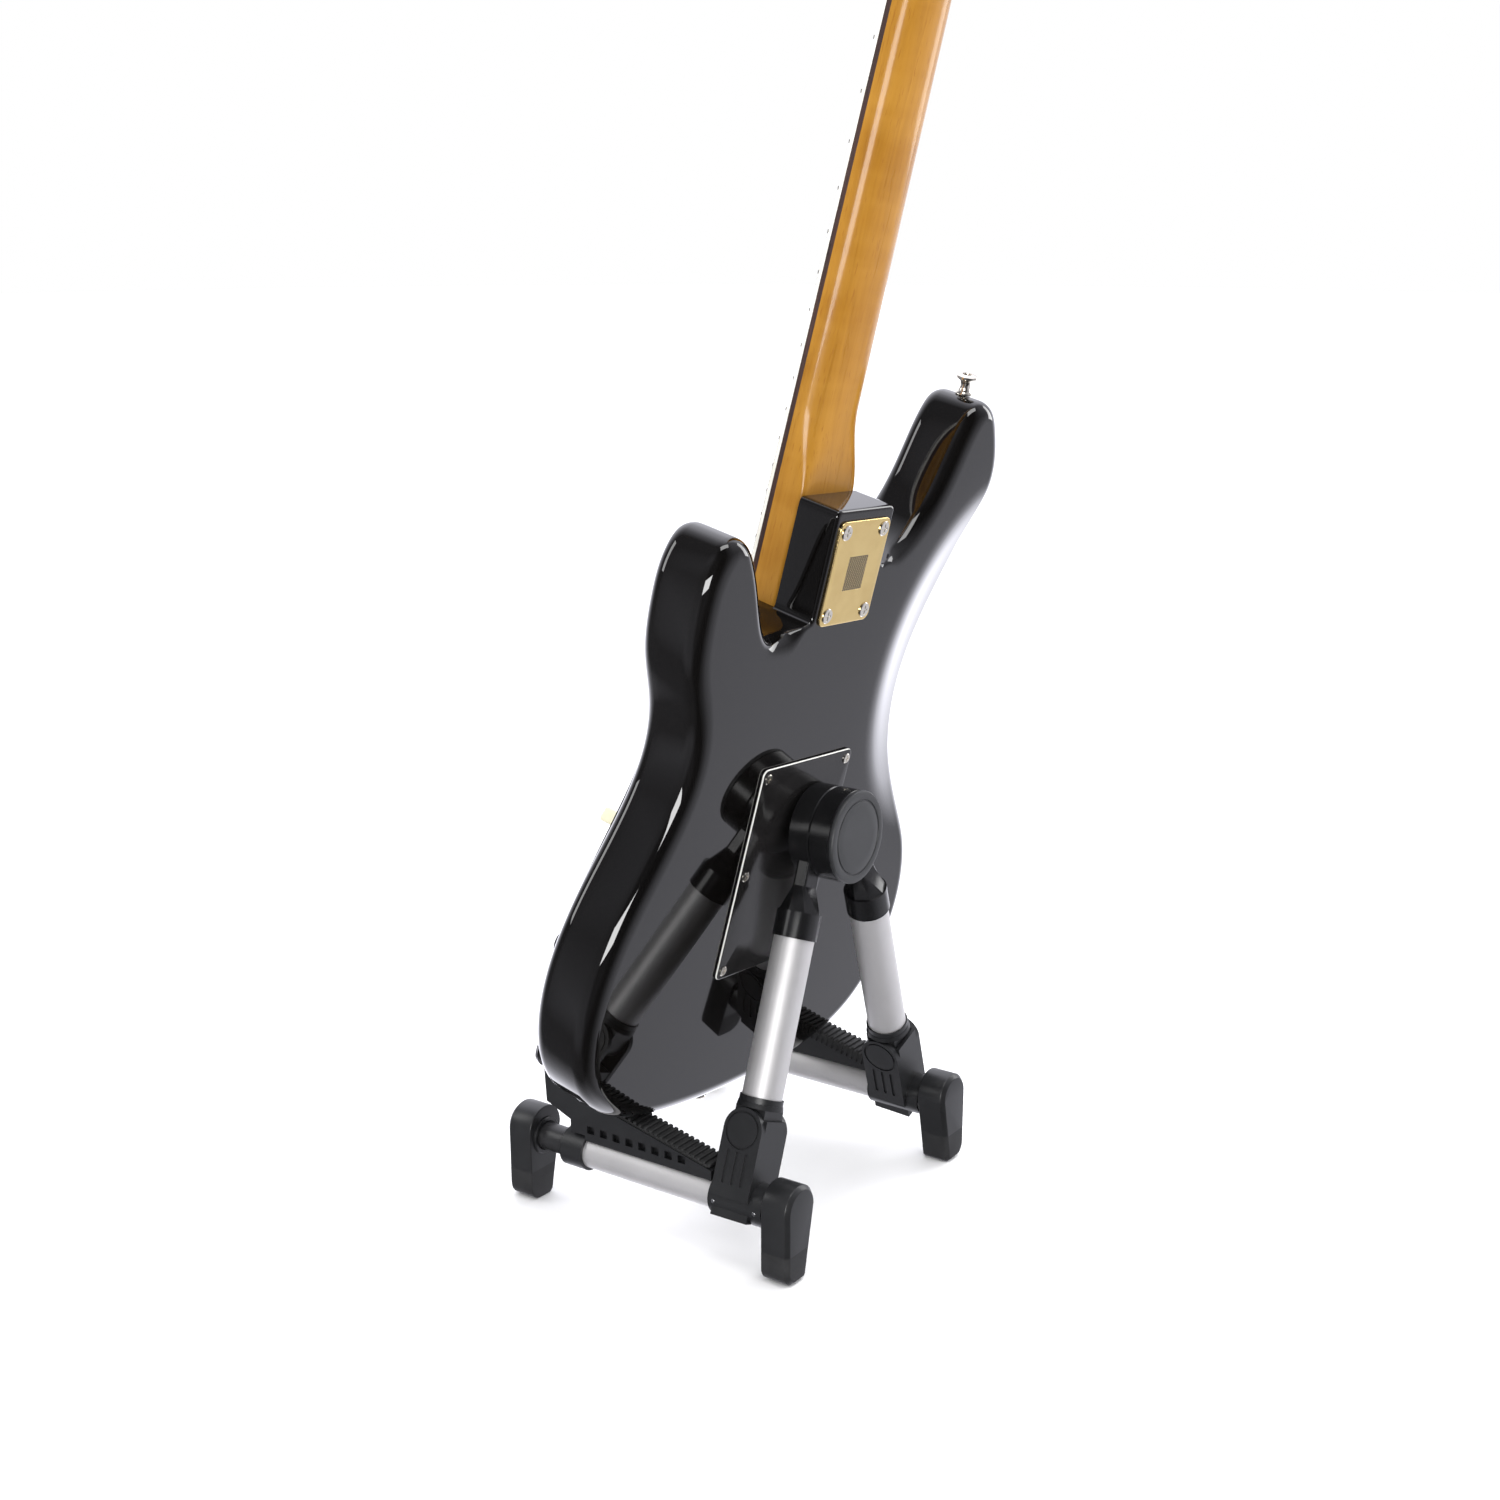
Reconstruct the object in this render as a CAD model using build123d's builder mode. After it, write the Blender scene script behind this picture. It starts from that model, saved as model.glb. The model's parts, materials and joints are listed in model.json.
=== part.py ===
from build123d import *
import os
from math import asin, atan2, cos, hypot, radians, sin, tan

# Six-string electric guitar leaning on a compact folding A-frame floor stand.
# Stand axes: +X towards the treble side, +Y towards the back of the stand, +Z up, floor at Z = 0.
# Guitar axes: x towards the treble side, y up the neck from the butt, z from the back to the strings.

# ---- where the two halves stand in the part's frame ------------------------------------------
centre_shift = (-12.5, 11.3, 0)        # puts the middle of the bounding box over the origin
guitar_lean = 12.8                     # degrees, top of the guitar back towards the hub
guitar_roll = 3.75                     # degrees, neck tipped towards the bass side
guitar_yaw = -2.8
butt_at = (20.6, -50.3, 65.0)          # butt end of the body's back face, in stand axes

# ---- stand -----------------------------------------------------------------------------------
bar_x = 95.0                           # foot bar axis from the middle of the stand
bar_z = 41.5
bar_tube_r = 11.0
hub_z = 246.5
hub_r = 28.6
hub_front, hub_back = 1.5, 34.1        # drum faces along Y
cap_thick = 3.0
drum_gap = 0.3
axle_r = 4.0
run_gap = 0.05                         # radial clearance of every turning fit
slide_gap = 0.4
leg_offset = 12.0                      # leg axis from the hub axis, so closed legs lie side by side
bar_shift = {1: 3.0, -1: -3.0}         # each foot bar lies a little off the middle along Y
leg_y = {1: 11.5 + bar_shift[1], -1: 11.5 + bar_shift[-1]}    # leg axis at the foot bar
hub_leg_y = {1: 11.0, -1: 24.0}        # leg axis at the hub: front drum left, rear drum right
leg_tube_r = 12.4
wall = 1.2
pivot_u = 41.0                         # knuckle pivot, up the leg from the bar axis
tube_low_u, tube_high_u = 61.5, 158.5  # visible ends of the leg tube
tube_seat = 5.5                        # length of tube inside the socket
pin_r = 4.0
ear_inner, ear_outer = 10.7, 14.6
ear_r = 13.5
groove_r = 11.6
web_t = 2.4
ear_cap = 1.2                          # wall that closes each ear over the pin's end
lug_r = 10.5
barrel_r = 13.0
barrel_back, barrel_front = 33.8, -4.5
collar_back, collar_front = -102.0, -120.0
foot_r, foot_crown = 15.0, 4.5         # round top of a foot, and its centre above the bar
foot_len = 19.5
foot_recess = 2.5
rear_foot_y, front_foot_y = 35.3, -141.0    # inner faces of the two feet
sole_top = 20.0
ext_r = 8.8
arm_w = 17.0
arm_tip_y = -131.0
arm_touch_y, arm_touch_z = -53.0, 72.9 # height of the rib tops below the guitar's back edge
rib_pitch, rib_h, pad_base = 4.0, 1.6, 1.8
notch_count, notch_start, notch_pitch, notch_depth = 8, -24.0, 10.0, 3.0

# ---- guitar ----------------------------------------------------------------------------------
body_t = 44.5
edge_r = 11.0
belly_dish = (300, (-205, 275, -268))           # sphere that hollows the back's bass side
forearm_dish = (500, (-227, 95, body_t + 477))  # sphere that slopes the front's bass side
spring_cavity = (62, 116, 16)                   # width, length, depth behind the bridge
block_slot = (80, 26)                           # through slot for the tremolo block
pickup_cavity = (96, 158, 18)
control_depth = 30.0
scale_len = 648.0
saddle_y = 130.0
nut_y = saddle_y + scale_len
pocket_end, pocket_mouth = 317.0, 392.0
pocket_depth = 16.0
heel_w, nut_w = 56.0, 42.0
board_t, board_top = 5.6, 53.9
board_end = 323.0
neck_t_nut, neck_t_body = 15.4, 17.4   # wood below the board
fret_count = 21
head_t = 14.0
head_top = board_top - 10.0
head_len = 190.0
tuner_x, tuner_pitch = -28.0, 24.0
post_r, shaft_r, shaft_drop = 4.2, 2.0, 5.0    # string post, button shaft and its depth below the head
plate_y = 353.5
plate_w, plate_l, plate_t = 51.0, 64.0, 1.4
plate_screws = (38.1, 50.8)             # hole spacing across and along the neck
cover_w, cover_l, cover_t = 90.7, 139.9, 2.0
cover_y = 164.2
cover_screws = (cover_w - 10, cover_l / 2 - 6)
cover_slot = (60, 12, -32)             # string slot: length, width, offset from the cover's middle
guard_t = 2.4
string_r = [0.58, 0.46, 0.33, 0.22, 0.17, 0.13]
saddle_span, nut_span = 52.5, 35.0
knob_at = {"volume_knob": (70, 163), "middle_tone_knob": (95, 137), "neck_tone_knob": (120, 111)}
knob_r, knob_h = 10.5, 14.0
spring_x = (-20, 0, 20)
button_base, button_post, button_flange = (5.2, 2.0), (3.6, 7.5), (6.8, 3.0)   # strap button r, length
selector_at = (97.0, 187.0)
jack_at = (126.0, 60.0)
jack_r = 3.3
jack_len = 12.0

os.makedirs("parts", exist_ok=True)

stand_place = Location(centre_shift)


def guitar_plane():
    face = Vector(0, -1, 0).rotate(Axis.X, -guitar_lean).rotate(Axis.Z, guitar_yaw)
    side = Vector(1, 0, 0).rotate(Axis.Z, guitar_yaw).rotate(Axis((0, 0, 0), face), guitar_roll)
    return Plane(origin=Vector(*butt_at) + Vector(*centre_shift), x_dir=side, z_dir=face)


guitar_place = guitar_plane().location


def save(piece, name, place):
    placed = piece.part.moved(place)
    placed.label = name
    export_step(placed, f"parts/{name}.step")


def leg_frame(side):
    """Plane with its origin on the foot bar, z up the leg and x towards +X."""
    reach = hypot(bar_x, hub_z - bar_z)
    lean = atan2(bar_x, hub_z - bar_z) - asin(leg_offset / reach)
    skew = (hub_leg_y[side] - leg_y[side]) / reach
    up = Vector(-side * sin(lean), skew, cos(lean)).normalized()
    across = Vector(cos(lean), 0, side * sin(lean))
    return Plane(origin=(side * bar_x, leg_y[side], bar_z), x_dir=across, z_dir=up)


# ---- hub -------------------------------------------------------------------------------------
def hub_parts():
    rear_face = hub_back - cap_thick
    at_hub = Plane(origin=(0, 0, hub_z), x_dir=(1, 0, 0), z_dir=(0, 1, 0))

    with BuildPart() as hub_axle:
        with BuildSketch(at_hub.offset(hub_front + 0.3)):
            Circle(axle_r)
        extrude(amount=rear_face - hub_front - 0.3)
        with BuildSketch(at_hub.offset(hub_front + 0.3)):
            Circle(axle_r + 4)
        extrude(amount=3)
    save(hub_axle, "hub_axle", stand_place)

    with BuildPart() as hub_rear_cap:
        with BuildSketch(at_hub.offset(rear_face)):
            Circle(hub_r)
        extrude(amount=cap_thick)
        chamfer(hub_rear_cap.faces().sort_by(Axis.Y)[-1].edges(), 0.8)
        with BuildSketch(at_hub.offset(hub_back - 0.7)):
            Circle(hub_r - 5)
            Circle(hub_r - 6.5, mode=Mode.SUBTRACT)
        extrude(amount=1, mode=Mode.SUBTRACT)
    save(hub_rear_cap, "hub_rear_cap", stand_place)

    # shallow dome that stands a little in front of the drums
    dome_r = 60.0
    dome_y = 56.1
    with BuildPart() as hub_front_pad:
        with BuildSketch(at_hub.offset(-8)):
            Circle(hub_r - 4)
        extrude(amount=hub_front + 8)
        with Locations((0, dome_y, hub_z)):
            Sphere(dome_r, mode=Mode.INTERSECT)
    save(hub_front_pad, "hub_front_pad", stand_place)


def hub_drum(side, name):
    """Drum that turns on the axle, with the neck and collar that hold the top of its leg tube."""
    rear_face = hub_back - cap_thick
    middle = (hub_front + rear_face) / 2
    low, high = (hub_front + 0.2, middle) if side == 1 else (middle, rear_face)
    at_hub = Plane(origin=(0, 0, hub_z), x_dir=(1, 0, 0), z_dir=(0, 1, 0))
    leg = leg_frame(side)
    collar_top, neck_top = tube_high_u + 16, 190.0
    with BuildPart() as drum:
        with BuildSketch(at_hub.offset(low + drum_gap / 2)):
            Circle(hub_r)
        extrude(amount=high - low - drum_gap)
        chamfer(drum.edges().filter_by(GeomType.CIRCLE), 0.6)
        with BuildSketch(leg.offset(collar_top)):
            RegularPolygon(leg_tube_r - 0.6, 8, major_radius=False)
        with BuildSketch(leg.offset(neck_top)):
            RectangleRounded(15, high - low - 5.4, 2)
        loft()
        with BuildSketch(leg.offset(neck_top)):
            RectangleRounded(15, high - low - 5.4, 2)
        extrude(amount=24)
        with BuildSketch(leg.offset(tube_high_u)):
            Circle(leg_tube_r + 1.2)
        extrude(amount=collar_top - tube_high_u)
        with BuildSketch(leg.offset(tube_high_u - 1)):
            Circle(leg_tube_r)
        extrude(amount=15, mode=Mode.SUBTRACT)
        with BuildSketch(at_hub):
            Circle(axle_r + run_gap)
        extrude(amount=hub_back, mode=Mode.SUBTRACT)
        if side == 1:
            with BuildSketch(at_hub):
                Circle(axle_r + 4.4)
            extrude(amount=hub_front + 3.6, mode=Mode.SUBTRACT)
    save(drum, f"{name}_hub_drum", stand_place)


def leg_parts(side, name):
    leg = leg_frame(side)
    with BuildPart() as tube:
        with BuildSketch(leg.offset(tube_low_u - tube_seat)):
            Circle(leg_tube_r)
            Circle(leg_tube_r - wall, mode=Mode.SUBTRACT)
        extrude(amount=tube_high_u - tube_low_u + tube_seat + 13.8)
    save(tube, f"{name}_leg_tube", stand_place)

    lug = Plane(origin=leg.from_local_coords(Vector(0, 0, pivot_u)), x_dir=leg.z_dir, z_dir=leg.x_dir)
    with BuildPart() as socket:
        with BuildSketch(lug.offset(-ear_inner + slide_gap)):
            Circle(lug_r)
        extrude(amount=2 * (ear_inner - slide_gap))
        with BuildSketch(leg.offset(pivot_u)):
            Rectangle(2 * (ear_inner - slide_gap), 2 * lug_r)
        extrude(amount=14)
        with BuildSketch(leg.offset(pivot_u + 14)):
            Circle(ear_r + 0.8)
        with BuildSketch(leg.offset(pivot_u + 17)):
            Circle(ear_r + 0.2)
        loft()
        with BuildSketch(leg.offset(pivot_u + 17)):
            Circle(ear_r)
        extrude(amount=tube_low_u - pivot_u - 17)
        with BuildSketch(leg.offset(tube_low_u - tube_seat)):
            Circle(leg_tube_r)
        extrude(amount=tube_seat + 1, mode=Mode.SUBTRACT)
        with BuildSketch(lug.offset(-20)):
            Circle(pin_r + run_gap)
        extrude(amount=40, mode=Mode.SUBTRACT)
    save(socket, f"{name}_leg_socket", stand_place)


# ---- foot bars -------------------------------------------------------------------------------
def bar_plane(side):
    """Plane square to a foot bar, with its origin on the bar's axis and z along +Y."""
    return Plane(origin=(side * bar_x, bar_shift[side], bar_z), x_dir=(1, 0, 0), z_dir=(0, 1, 0))


def knuckle(side, name):
    """Barrel on the foot bar with two grooved ears and a back web round the leg's pivot pin."""
    leg = leg_frame(side)
    pivot = leg.from_local_coords(Vector(0, 0, pivot_u))
    ear_plane = Plane(origin=pivot, x_dir=leg.z_dir, z_dir=leg.x_dir)
    bar = bar_plane(side)
    with BuildPart() as body:
        for start in (-ear_outer, ear_inner):
            with BuildSketch(ear_plane.offset(start)):
                Circle(ear_r)
                with Locations((-pivot_u / 2, 0)):
                    Rectangle(pivot_u, 2 * ear_r)
            extrude(amount=ear_outer - ear_inner)
        with BuildSketch(ear_plane.offset(-ear_inner)):
            with Locations((-pivot_u + 6, 0)):
                Rectangle(37, 2 * ear_r - 1)
            Circle(lug_r + 1.2, mode=Mode.SUBTRACT)
            with Locations((4 - pivot_u / 2, web_t / 2 - ear_r)):
                Rectangle(pivot_u + 8, web_t)
        extrude(amount=2 * ear_inner)
        for face_at in (-ear_outer - 0.1, ear_outer - 0.8):
            with BuildSketch(ear_plane.offset(face_at)):
                Circle(groove_r)
                Circle(groove_r - 1.2, mode=Mode.SUBTRACT)
                for across in (-6.4, 0, 6.4):
                    with Locations((-pivot_u / 2 - 2.5, across)):
                        SlotOverall(20, 2.0)
            extrude(amount=0.9, mode=Mode.SUBTRACT)
        with BuildSketch(bar.offset(barrel_front)):
            Circle(barrel_r)
        extrude(amount=barrel_back - barrel_front)
        with BuildSketch(bar.offset(barrel_front - 1)):
            Circle(bar_tube_r)
        extrude(amount=barrel_back - barrel_front + 2, mode=Mode.SUBTRACT)
        with BuildSketch(ear_plane.offset(ear_cap - ear_outer)):
            Circle(pin_r)
        extrude(amount=2 * (ear_outer - ear_cap), mode=Mode.SUBTRACT)
    save(body, f"{name}_knuckle", stand_place)

    with BuildPart() as pin:
        with BuildSketch(ear_plane.offset(ear_cap - ear_outer)):
            Circle(pin_r)
        extrude(amount=2 * (ear_outer - ear_cap))
    save(pin, f"{name}_knuckle_pin", stand_place)


def bar_parts(side, name):
    bar = bar_plane(side)
    bar_end = collar_front + 1.5
    with BuildPart() as tube:
        with BuildSketch(bar.offset(bar_end)):
            Circle(bar_tube_r)
            Circle(ext_r + slide_gap, mode=Mode.SUBTRACT)
        extrude(amount=rear_foot_y - bar_end)
    save(tube, f"{name}_bar_tube", stand_place)

    with BuildPart() as collar:
        with BuildSketch(bar.offset(collar_front)):
            Circle(barrel_r)
        extrude(amount=collar_back - collar_front)
        chamfer(collar.faces().sort_by(Axis.Y)[0].edges(), 1.2)
        with BuildSketch(bar.offset(bar_end)):
            Circle(bar_tube_r)
        extrude(amount=30, mode=Mode.SUBTRACT)
        with BuildSketch(bar.offset(collar_front - 1)):
            Circle(ext_r + run_gap)
        extrude(amount=4, mode=Mode.SUBTRACT)
    save(collar, f"{name}_bar_collar", stand_place)

    with BuildPart() as extension:
        with BuildSketch(bar.offset(front_foot_y - foot_recess)):
            Circle(ext_r)
            Circle(ext_r - wall, mode=Mode.SUBTRACT)
        extrude(amount=80)
    save(extension, f"{name}_extension_tube", stand_place)


def foot_blank(side, inner_y, outward):
    """Boot around the end of a foot bar: round on top, its inner side slanted like the leg."""
    face = Plane(origin=(side * bar_x, inner_y + bar_shift[side], bar_z), x_dir=(1, 0, 0), z_dir=(0, -1, 0))
    half = side * foot_r
    with BuildPart() as boot:
        with BuildSketch(face) as section:
            with BuildLine():
                Polyline(
                    (-half, foot_crown), (-half, foot_crown + foot_r), (half, foot_crown + foot_r),
                    (side * 14.5, -bar_z), (-side * 5.5, -bar_z), close=True,
                )
            make_face()
            fillet(section.vertices().group_by(Axis.Y)[-1], foot_r - 0.5)
            bottom = section.vertices().group_by(Axis.Y)[0].sort_by(Axis.X)
            outer_corner, inner_corner = (bottom[-1], bottom[0]) if side > 0 else (bottom[0], bottom[-1])
            fillet(outer_corner, 9)
            fillet(inner_corner, 4)
        extrude(amount=-outward * foot_len)
        outer = boot.faces().sort_by(Axis.Y)[-1 if outward > 0 else 0]
        chamfer(outer.edges(), 2.5)
        if outward < 0:
            with BuildSketch(face):
                Circle(ext_r + 3.4)
            extrude(amount=foot_recess, mode=Mode.SUBTRACT)
    return boot.part


def feet(side, name):
    for place, inner_y, outward in (("rear", rear_foot_y, 1), ("front", front_foot_y, -1)):
        blank = foot_blank(side, inner_y, outward)
        with BuildPart() as shell:
            add(blank)
            split(bisect_by=Plane.XY.offset(sole_top), keep=Keep.TOP)
        save(shell, f"{name}_{place}_foot", stand_place)
        with BuildPart() as sole:
            add(blank)
            split(bisect_by=Plane.XY.offset(sole_top), keep=Keep.BOTTOM)
        save(sole, f"{name}_{place}_sole", stand_place)


def arm_top(y, below=0.0):
    """Height of the rib tops at y, less the given depth: they lie square to the guitar's back."""
    return arm_touch_z - (y - arm_touch_y) * tan(radians(guitar_lean)) - below


def arm_parts(side, name):
    pad = pad_base + rib_h
    rear, front = barrel_front + bar_shift[side] - slide_gap, -110.0
    arm_floor_end = collar_back + bar_shift[side] + slide_gap
    floor_z = bar_z + barrel_r + 0.3
    side_plane = Plane(origin=(side * bar_x - arm_w / 2, 0, 0), x_dir=(0, 1, 0), z_dir=(1, 0, 0))
    with BuildPart() as arm:
        with BuildSketch(side_plane):
            with BuildLine():
                Polyline(
                    (rear, bar_z + bar_tube_r - 1), (rear, arm_top(rear, pad)),
                    (front - 5, arm_top(front - 5, pad)), (arm_tip_y + 6, arm_top(arm_tip_y) + 10),
                    (arm_tip_y, arm_top(arm_tip_y) + 9), (arm_tip_y + 2, 70.5), (front, 63),
                    (front, floor_z), (arm_floor_end, floor_z),
                    (arm_floor_end, bar_z + bar_tube_r - 1), close=True,
                )
            make_face()
        extrude(amount=arm_w)
        outer_side = Plane(origin=(side * (bar_x + arm_w / 2), 0, 0), x_dir=(0, 1, 0), z_dir=(1, 0, 0))
        with BuildSketch(outer_side):
            for step in range(notch_count):
                with Locations((notch_start - notch_pitch * step, floor_z + 4.5)):
                    Rectangle(5.5, 5)
        extrude(amount=-notch_depth * side, mode=Mode.SUBTRACT)
        with BuildSketch(bar_plane(side).offset(-150)):
            Circle(bar_tube_r)
        extrude(amount=200, mode=Mode.SUBTRACT)
    save(arm, f"{name}_arm", stand_place)

    with BuildPart() as ribs:
        with BuildSketch(side_plane.offset(0.6)):
            with BuildLine():
                Polyline(
                    (rear, arm_top(rear, pad)), (rear, arm_top(rear, rib_h)),
                    (front - 4, arm_top(front - 4, rib_h)), (front - 4, arm_top(front - 4, pad)), close=True,
                )
            make_face()
            count = int((rear - front) / rib_pitch)
            for step in range(count):
                y = rear - 2 - rib_pitch * step
                with Locations((y, arm_top(y, rib_h))):
                    RectangleRounded(2.0, 2 * rib_h, 0.6, rotation=-guitar_lean)
        extrude(amount=arm_w - 1.2)
    save(ribs, f"{name}_arm_pad", stand_place)


# ---- guitar body -----------------------------------------------------------------------------
def body_outline():
    """Double-cutaway outline without its heel block, round the treble side and back."""
    return Spline(
        (0, 338), (36, 322), (62, 317), (80, 340), (94, 366), (105, 378), (120, 380), (132, 366), (136, 338),
        (131, 303), (117, 270), (113, 244), (123, 205), (142, 165), (157, 120), (158, 80), (142, 40),
        (108, 14), (60, 3), (0, 0), (-60, 3.5), (-104, 12.5), (-138, 34), (-158, 70), (-163, 106),
        (-154, 148), (-134, 192), (-120, 228), (-117, 258), (-127, 298), (-141, 338), (-146, 376),
        (-142, 412), (-131, 435), (-120, 447.5), (-106, 449.5), (-95, 438), (-86, 416), (-74, 388), (-54, 366),
        (-28, 352), periodic=True,
    )


def guitar_body():
    with BuildPart() as body:
        with BuildSketch():
            with BuildLine():
                body_outline()
            make_face()
        extrude(amount=body_t)
        fillet(body.faces().sort_by(Axis.Z)[0].edges(), edge_r)
        fillet(body.faces().sort_by(Axis.Z)[-1].edges(), edge_r)
        # heel block under the neck, with a small edge rounding of its own
        block = heel_w + 3
        with BuildSketch():
            with Locations((0, (pocket_end + pocket_mouth) / 2)):
                RectangleRounded(block, pocket_mouth - pocket_end, 3)
        extrude(amount=body_t - pocket_depth)
        for dish_r, dish_at in (belly_dish, forearm_dish):
            with Locations(dish_at):
                Sphere(dish_r, mode=Mode.SUBTRACT)
        # neck pocket, spring cavity behind the bridge, bridge block slot and control cavity
        with BuildSketch(Plane.XY.offset(body_t - pocket_depth)):
            with Locations((0, (pocket_end + pocket_mouth + 10) / 2)):
                Rectangle(heel_w, pocket_mouth + 10 - pocket_end)
        extrude(amount=40, mode=Mode.SUBTRACT)
        with BuildSketch():
            with Locations((0, 168)):
                RectangleRounded(*spring_cavity[:2], 6)
        extrude(amount=spring_cavity[2], mode=Mode.SUBTRACT)
        with BuildSketch():
            with Locations((0, 136)):
                RectangleRounded(*block_slot, 5)
        extrude(amount=body_t, mode=Mode.SUBTRACT)
        with BuildSketch(Plane.XY.offset(body_t - control_depth)):
            with Locations((96, 142)):
                SlotOverall(112, 34, rotation=-46)
            with Locations(selector_at):
                SlotOverall(52, 20, rotation=-55)
        extrude(amount=40, mode=Mode.SUBTRACT)
        with BuildSketch(Plane.XY.offset(body_t - pickup_cavity[2])):
            with Locations((0, 226)):
                RectangleRounded(*pickup_cavity[:2], 8)
        extrude(amount=40, mode=Mode.SUBTRACT)
        with BuildSketch(Plane.XY.offset(body_t - 26)):
            with Locations(jack_at):
                Circle(9)
        extrude(amount=40, mode=Mode.SUBTRACT)
    save(body, "guitar_body", guitar_place)


def half_width(y):
    """Half the neck's width, from the nut to the heel."""
    return nut_w / 2 + (heel_w - nut_w) / 2 * (nut_y - y) / (nut_y - pocket_end)


def neck_section(y, depth, squareness):
    """D-shaped neck section below the board, on a plane square to the neck."""
    w = half_width(y)
    top = board_top - board_t
    plane = Plane(origin=(0, y, top), x_dir=(1, 0, 0), z_dir=(0, -1, 0))
    with BuildSketch(plane) as section:
        with BuildLine():
            Line((-w, 0), (w, 0))
            Spline(
                (w, 0), (w * squareness, -depth * 0.72), (0, -depth), (-w * squareness, -depth * 0.72), (-w, 0),
                tangents=[(0, -1), (0, 1)],
            )
        make_face()
    return section.sketch


def neck():
    heel_z = body_t - pocket_depth
    top = board_top - board_t
    w = heel_w / 2 - 0.15
    with BuildPart() as maple:
        with BuildSketch(Plane.XY.offset(heel_z)):
            with Locations((0, (pocket_end + pocket_mouth) / 2 + 2)):
                Rectangle(2 * w, pocket_mouth - pocket_end + 4)
        extrude(amount=top - heel_z)
        for y_low, y_high, d_low, d_high in (
            (pocket_mouth + 4, pocket_mouth + 46, top - heel_z, neck_t_body),
            (pocket_mouth + 46, nut_y, neck_t_body, neck_t_nut),
        ):
            add(neck_section(y_low, d_low, 0.93 if y_low < 400 else 0.80))
            add(neck_section(y_high, d_high, 0.80))
            loft()
        with BuildSketch(Plane.XY.offset(head_top - head_t)):
            with BuildLine():
                Spline(
                    (nut_w / 2 - 0.5, nut_y - 4), (26, nut_y + 26), (37, nut_y + 62), (34, nut_y + 120),
                    (20, nut_y + 176), (2, nut_y + head_len), (-17, nut_y + head_len - 10),
                    (-27, nut_y + 154), (-33, nut_y + 94), (-38, nut_y + 42), (-33, nut_y + 16),
                    (-nut_w / 2 + 0.5, nut_y - 4),
                )
                Line((-nut_w / 2 + 0.5, nut_y - 4), (nut_w / 2 - 0.5, nut_y - 4))
            make_face()
        extrude(amount=head_t)
        for x, y in tuner_posts_at():
            with Locations((x, y, head_top - head_t / 2)):
                Cylinder(post_r, 40, mode=Mode.SUBTRACT)
    save(maple, "neck", guitar_place)


def fret_y(n):
    return saddle_y + scale_len / 2 ** (n / 12)


def fingerboard_parts():
    with BuildPart() as board:
        with BuildSketch(Plane.XY.offset(board_top - board_t)):
            with BuildLine():
                low, high = half_width(board_end), nut_w / 2
                Polyline((-low, board_end), (low, board_end), (high, nut_y), (-high, nut_y), close=True)
            make_face()
        extrude(amount=board_t)
        fillet(board.edges().filter_by(Axis.Z), 0.5)
    save(board, "fretboard", guitar_place)

    with BuildPart() as frets:
        for n in range(1, fret_count + 1):
            with Locations((0, fret_y(n), board_top + 0.5)):
                Box(2 * half_width(fret_y(n)) - 1, 2.2, 1.0)
        fillet(frets.faces().group_by(Axis.Z)[-1].edges().filter_by(Axis.X), 0.45)
    save(frets, "frets", guitar_place)

    with BuildPart() as nut:
        with BuildSketch(Plane.XY.offset(board_top - board_t)):
            with Locations((0, nut_y + 2)):
                Rectangle(nut_w, 3.4)
        extrude(amount=board_t + 1.6)
    save(nut, "nut", guitar_place)


def back_plates():
    with BuildPart() as neck_plate:
        with BuildSketch(Plane.XY.offset(-plate_t)):
            with Locations((0, plate_y)):
                RectangleRounded(plate_w, plate_l, 5)
                with GridLocations(*plate_screws, 2, 2):
                    Circle(2.4, mode=Mode.SUBTRACT)
        extrude(amount=plate_t)
    save(neck_plate, "neck_plate", guitar_place)

    with BuildPart() as cover:
        with BuildSketch(Plane.XY.offset(-cover_t)):
            with Locations((0, cover_y)):
                RectangleRounded(cover_w, cover_l, 4)
                with GridLocations(*cover_screws, 2, 3):
                    Circle(1.7, mode=Mode.SUBTRACT)
            with Locations((0, cover_y + cover_slot[2])):
                SlotOverall(*cover_slot[:2], mode=Mode.SUBTRACT)
        extrude(amount=cover_t)
    save(cover, "tremolo_cover", guitar_place)


def wood_screw(r, length):
    """Oval-head wood screw, head up, with its seat at z = 0."""
    with BuildPart(mode=Mode.PRIVATE) as screw:
        with Locations((0, 0, -length / 2)):
            Cylinder(r, length)
        with Locations((0, 0, 0.45)):
            Cylinder(2 * r, 0.9)
        chamfer(screw.faces().sort_by(Axis.Z)[-1].edges(), 0.4)
        with Locations((0, 0, 0.75)):
            Box(2.4 * r, 0.5 * r, 0.5, mode=Mode.SUBTRACT)
            Box(0.5 * r, 2.4 * r, 0.5, mode=Mode.SUBTRACT)
    return screw.part


def guitar_screws():
    flip = Rot(180, 0, 0)
    with BuildPart() as screws:
        with Locations(Location((0, plate_y, -plate_t))):
            with GridLocations(*plate_screws, 2, 2):
                add(flip * wood_screw(2.3, 12))
        with Locations(Location((0, cover_y, -cover_t))):
            with GridLocations(*cover_screws, 2, 3):
                add(flip * wood_screw(1.6, 8))
    save(screws, "guitar_screws", guitar_place)


def strap_buttons():
    with BuildPart() as buttons:
        for place in (
            Location((0, -0.2, body_t / 2), (90, 0, 0)),
            Location((-112, 450.7, body_t / 2), (-90, 0, 8)),
        ):
            level = 0.0
            for r, length in (button_base, button_post, button_flange):
                with Locations(place * Pos(0, 0, level)):
                    Cylinder(r, length, align=(Align.CENTER, Align.CENTER, Align.MIN))
                level += length
    save(buttons, "strap_buttons", guitar_place)


# ---- guitar front ----------------------------------------------------------------------------
def pickup_places():
    return [Location((0, 282, 0)), Location((0, 226, 0)), Location((0, 168, 0), (0, 0, 9))]


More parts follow.
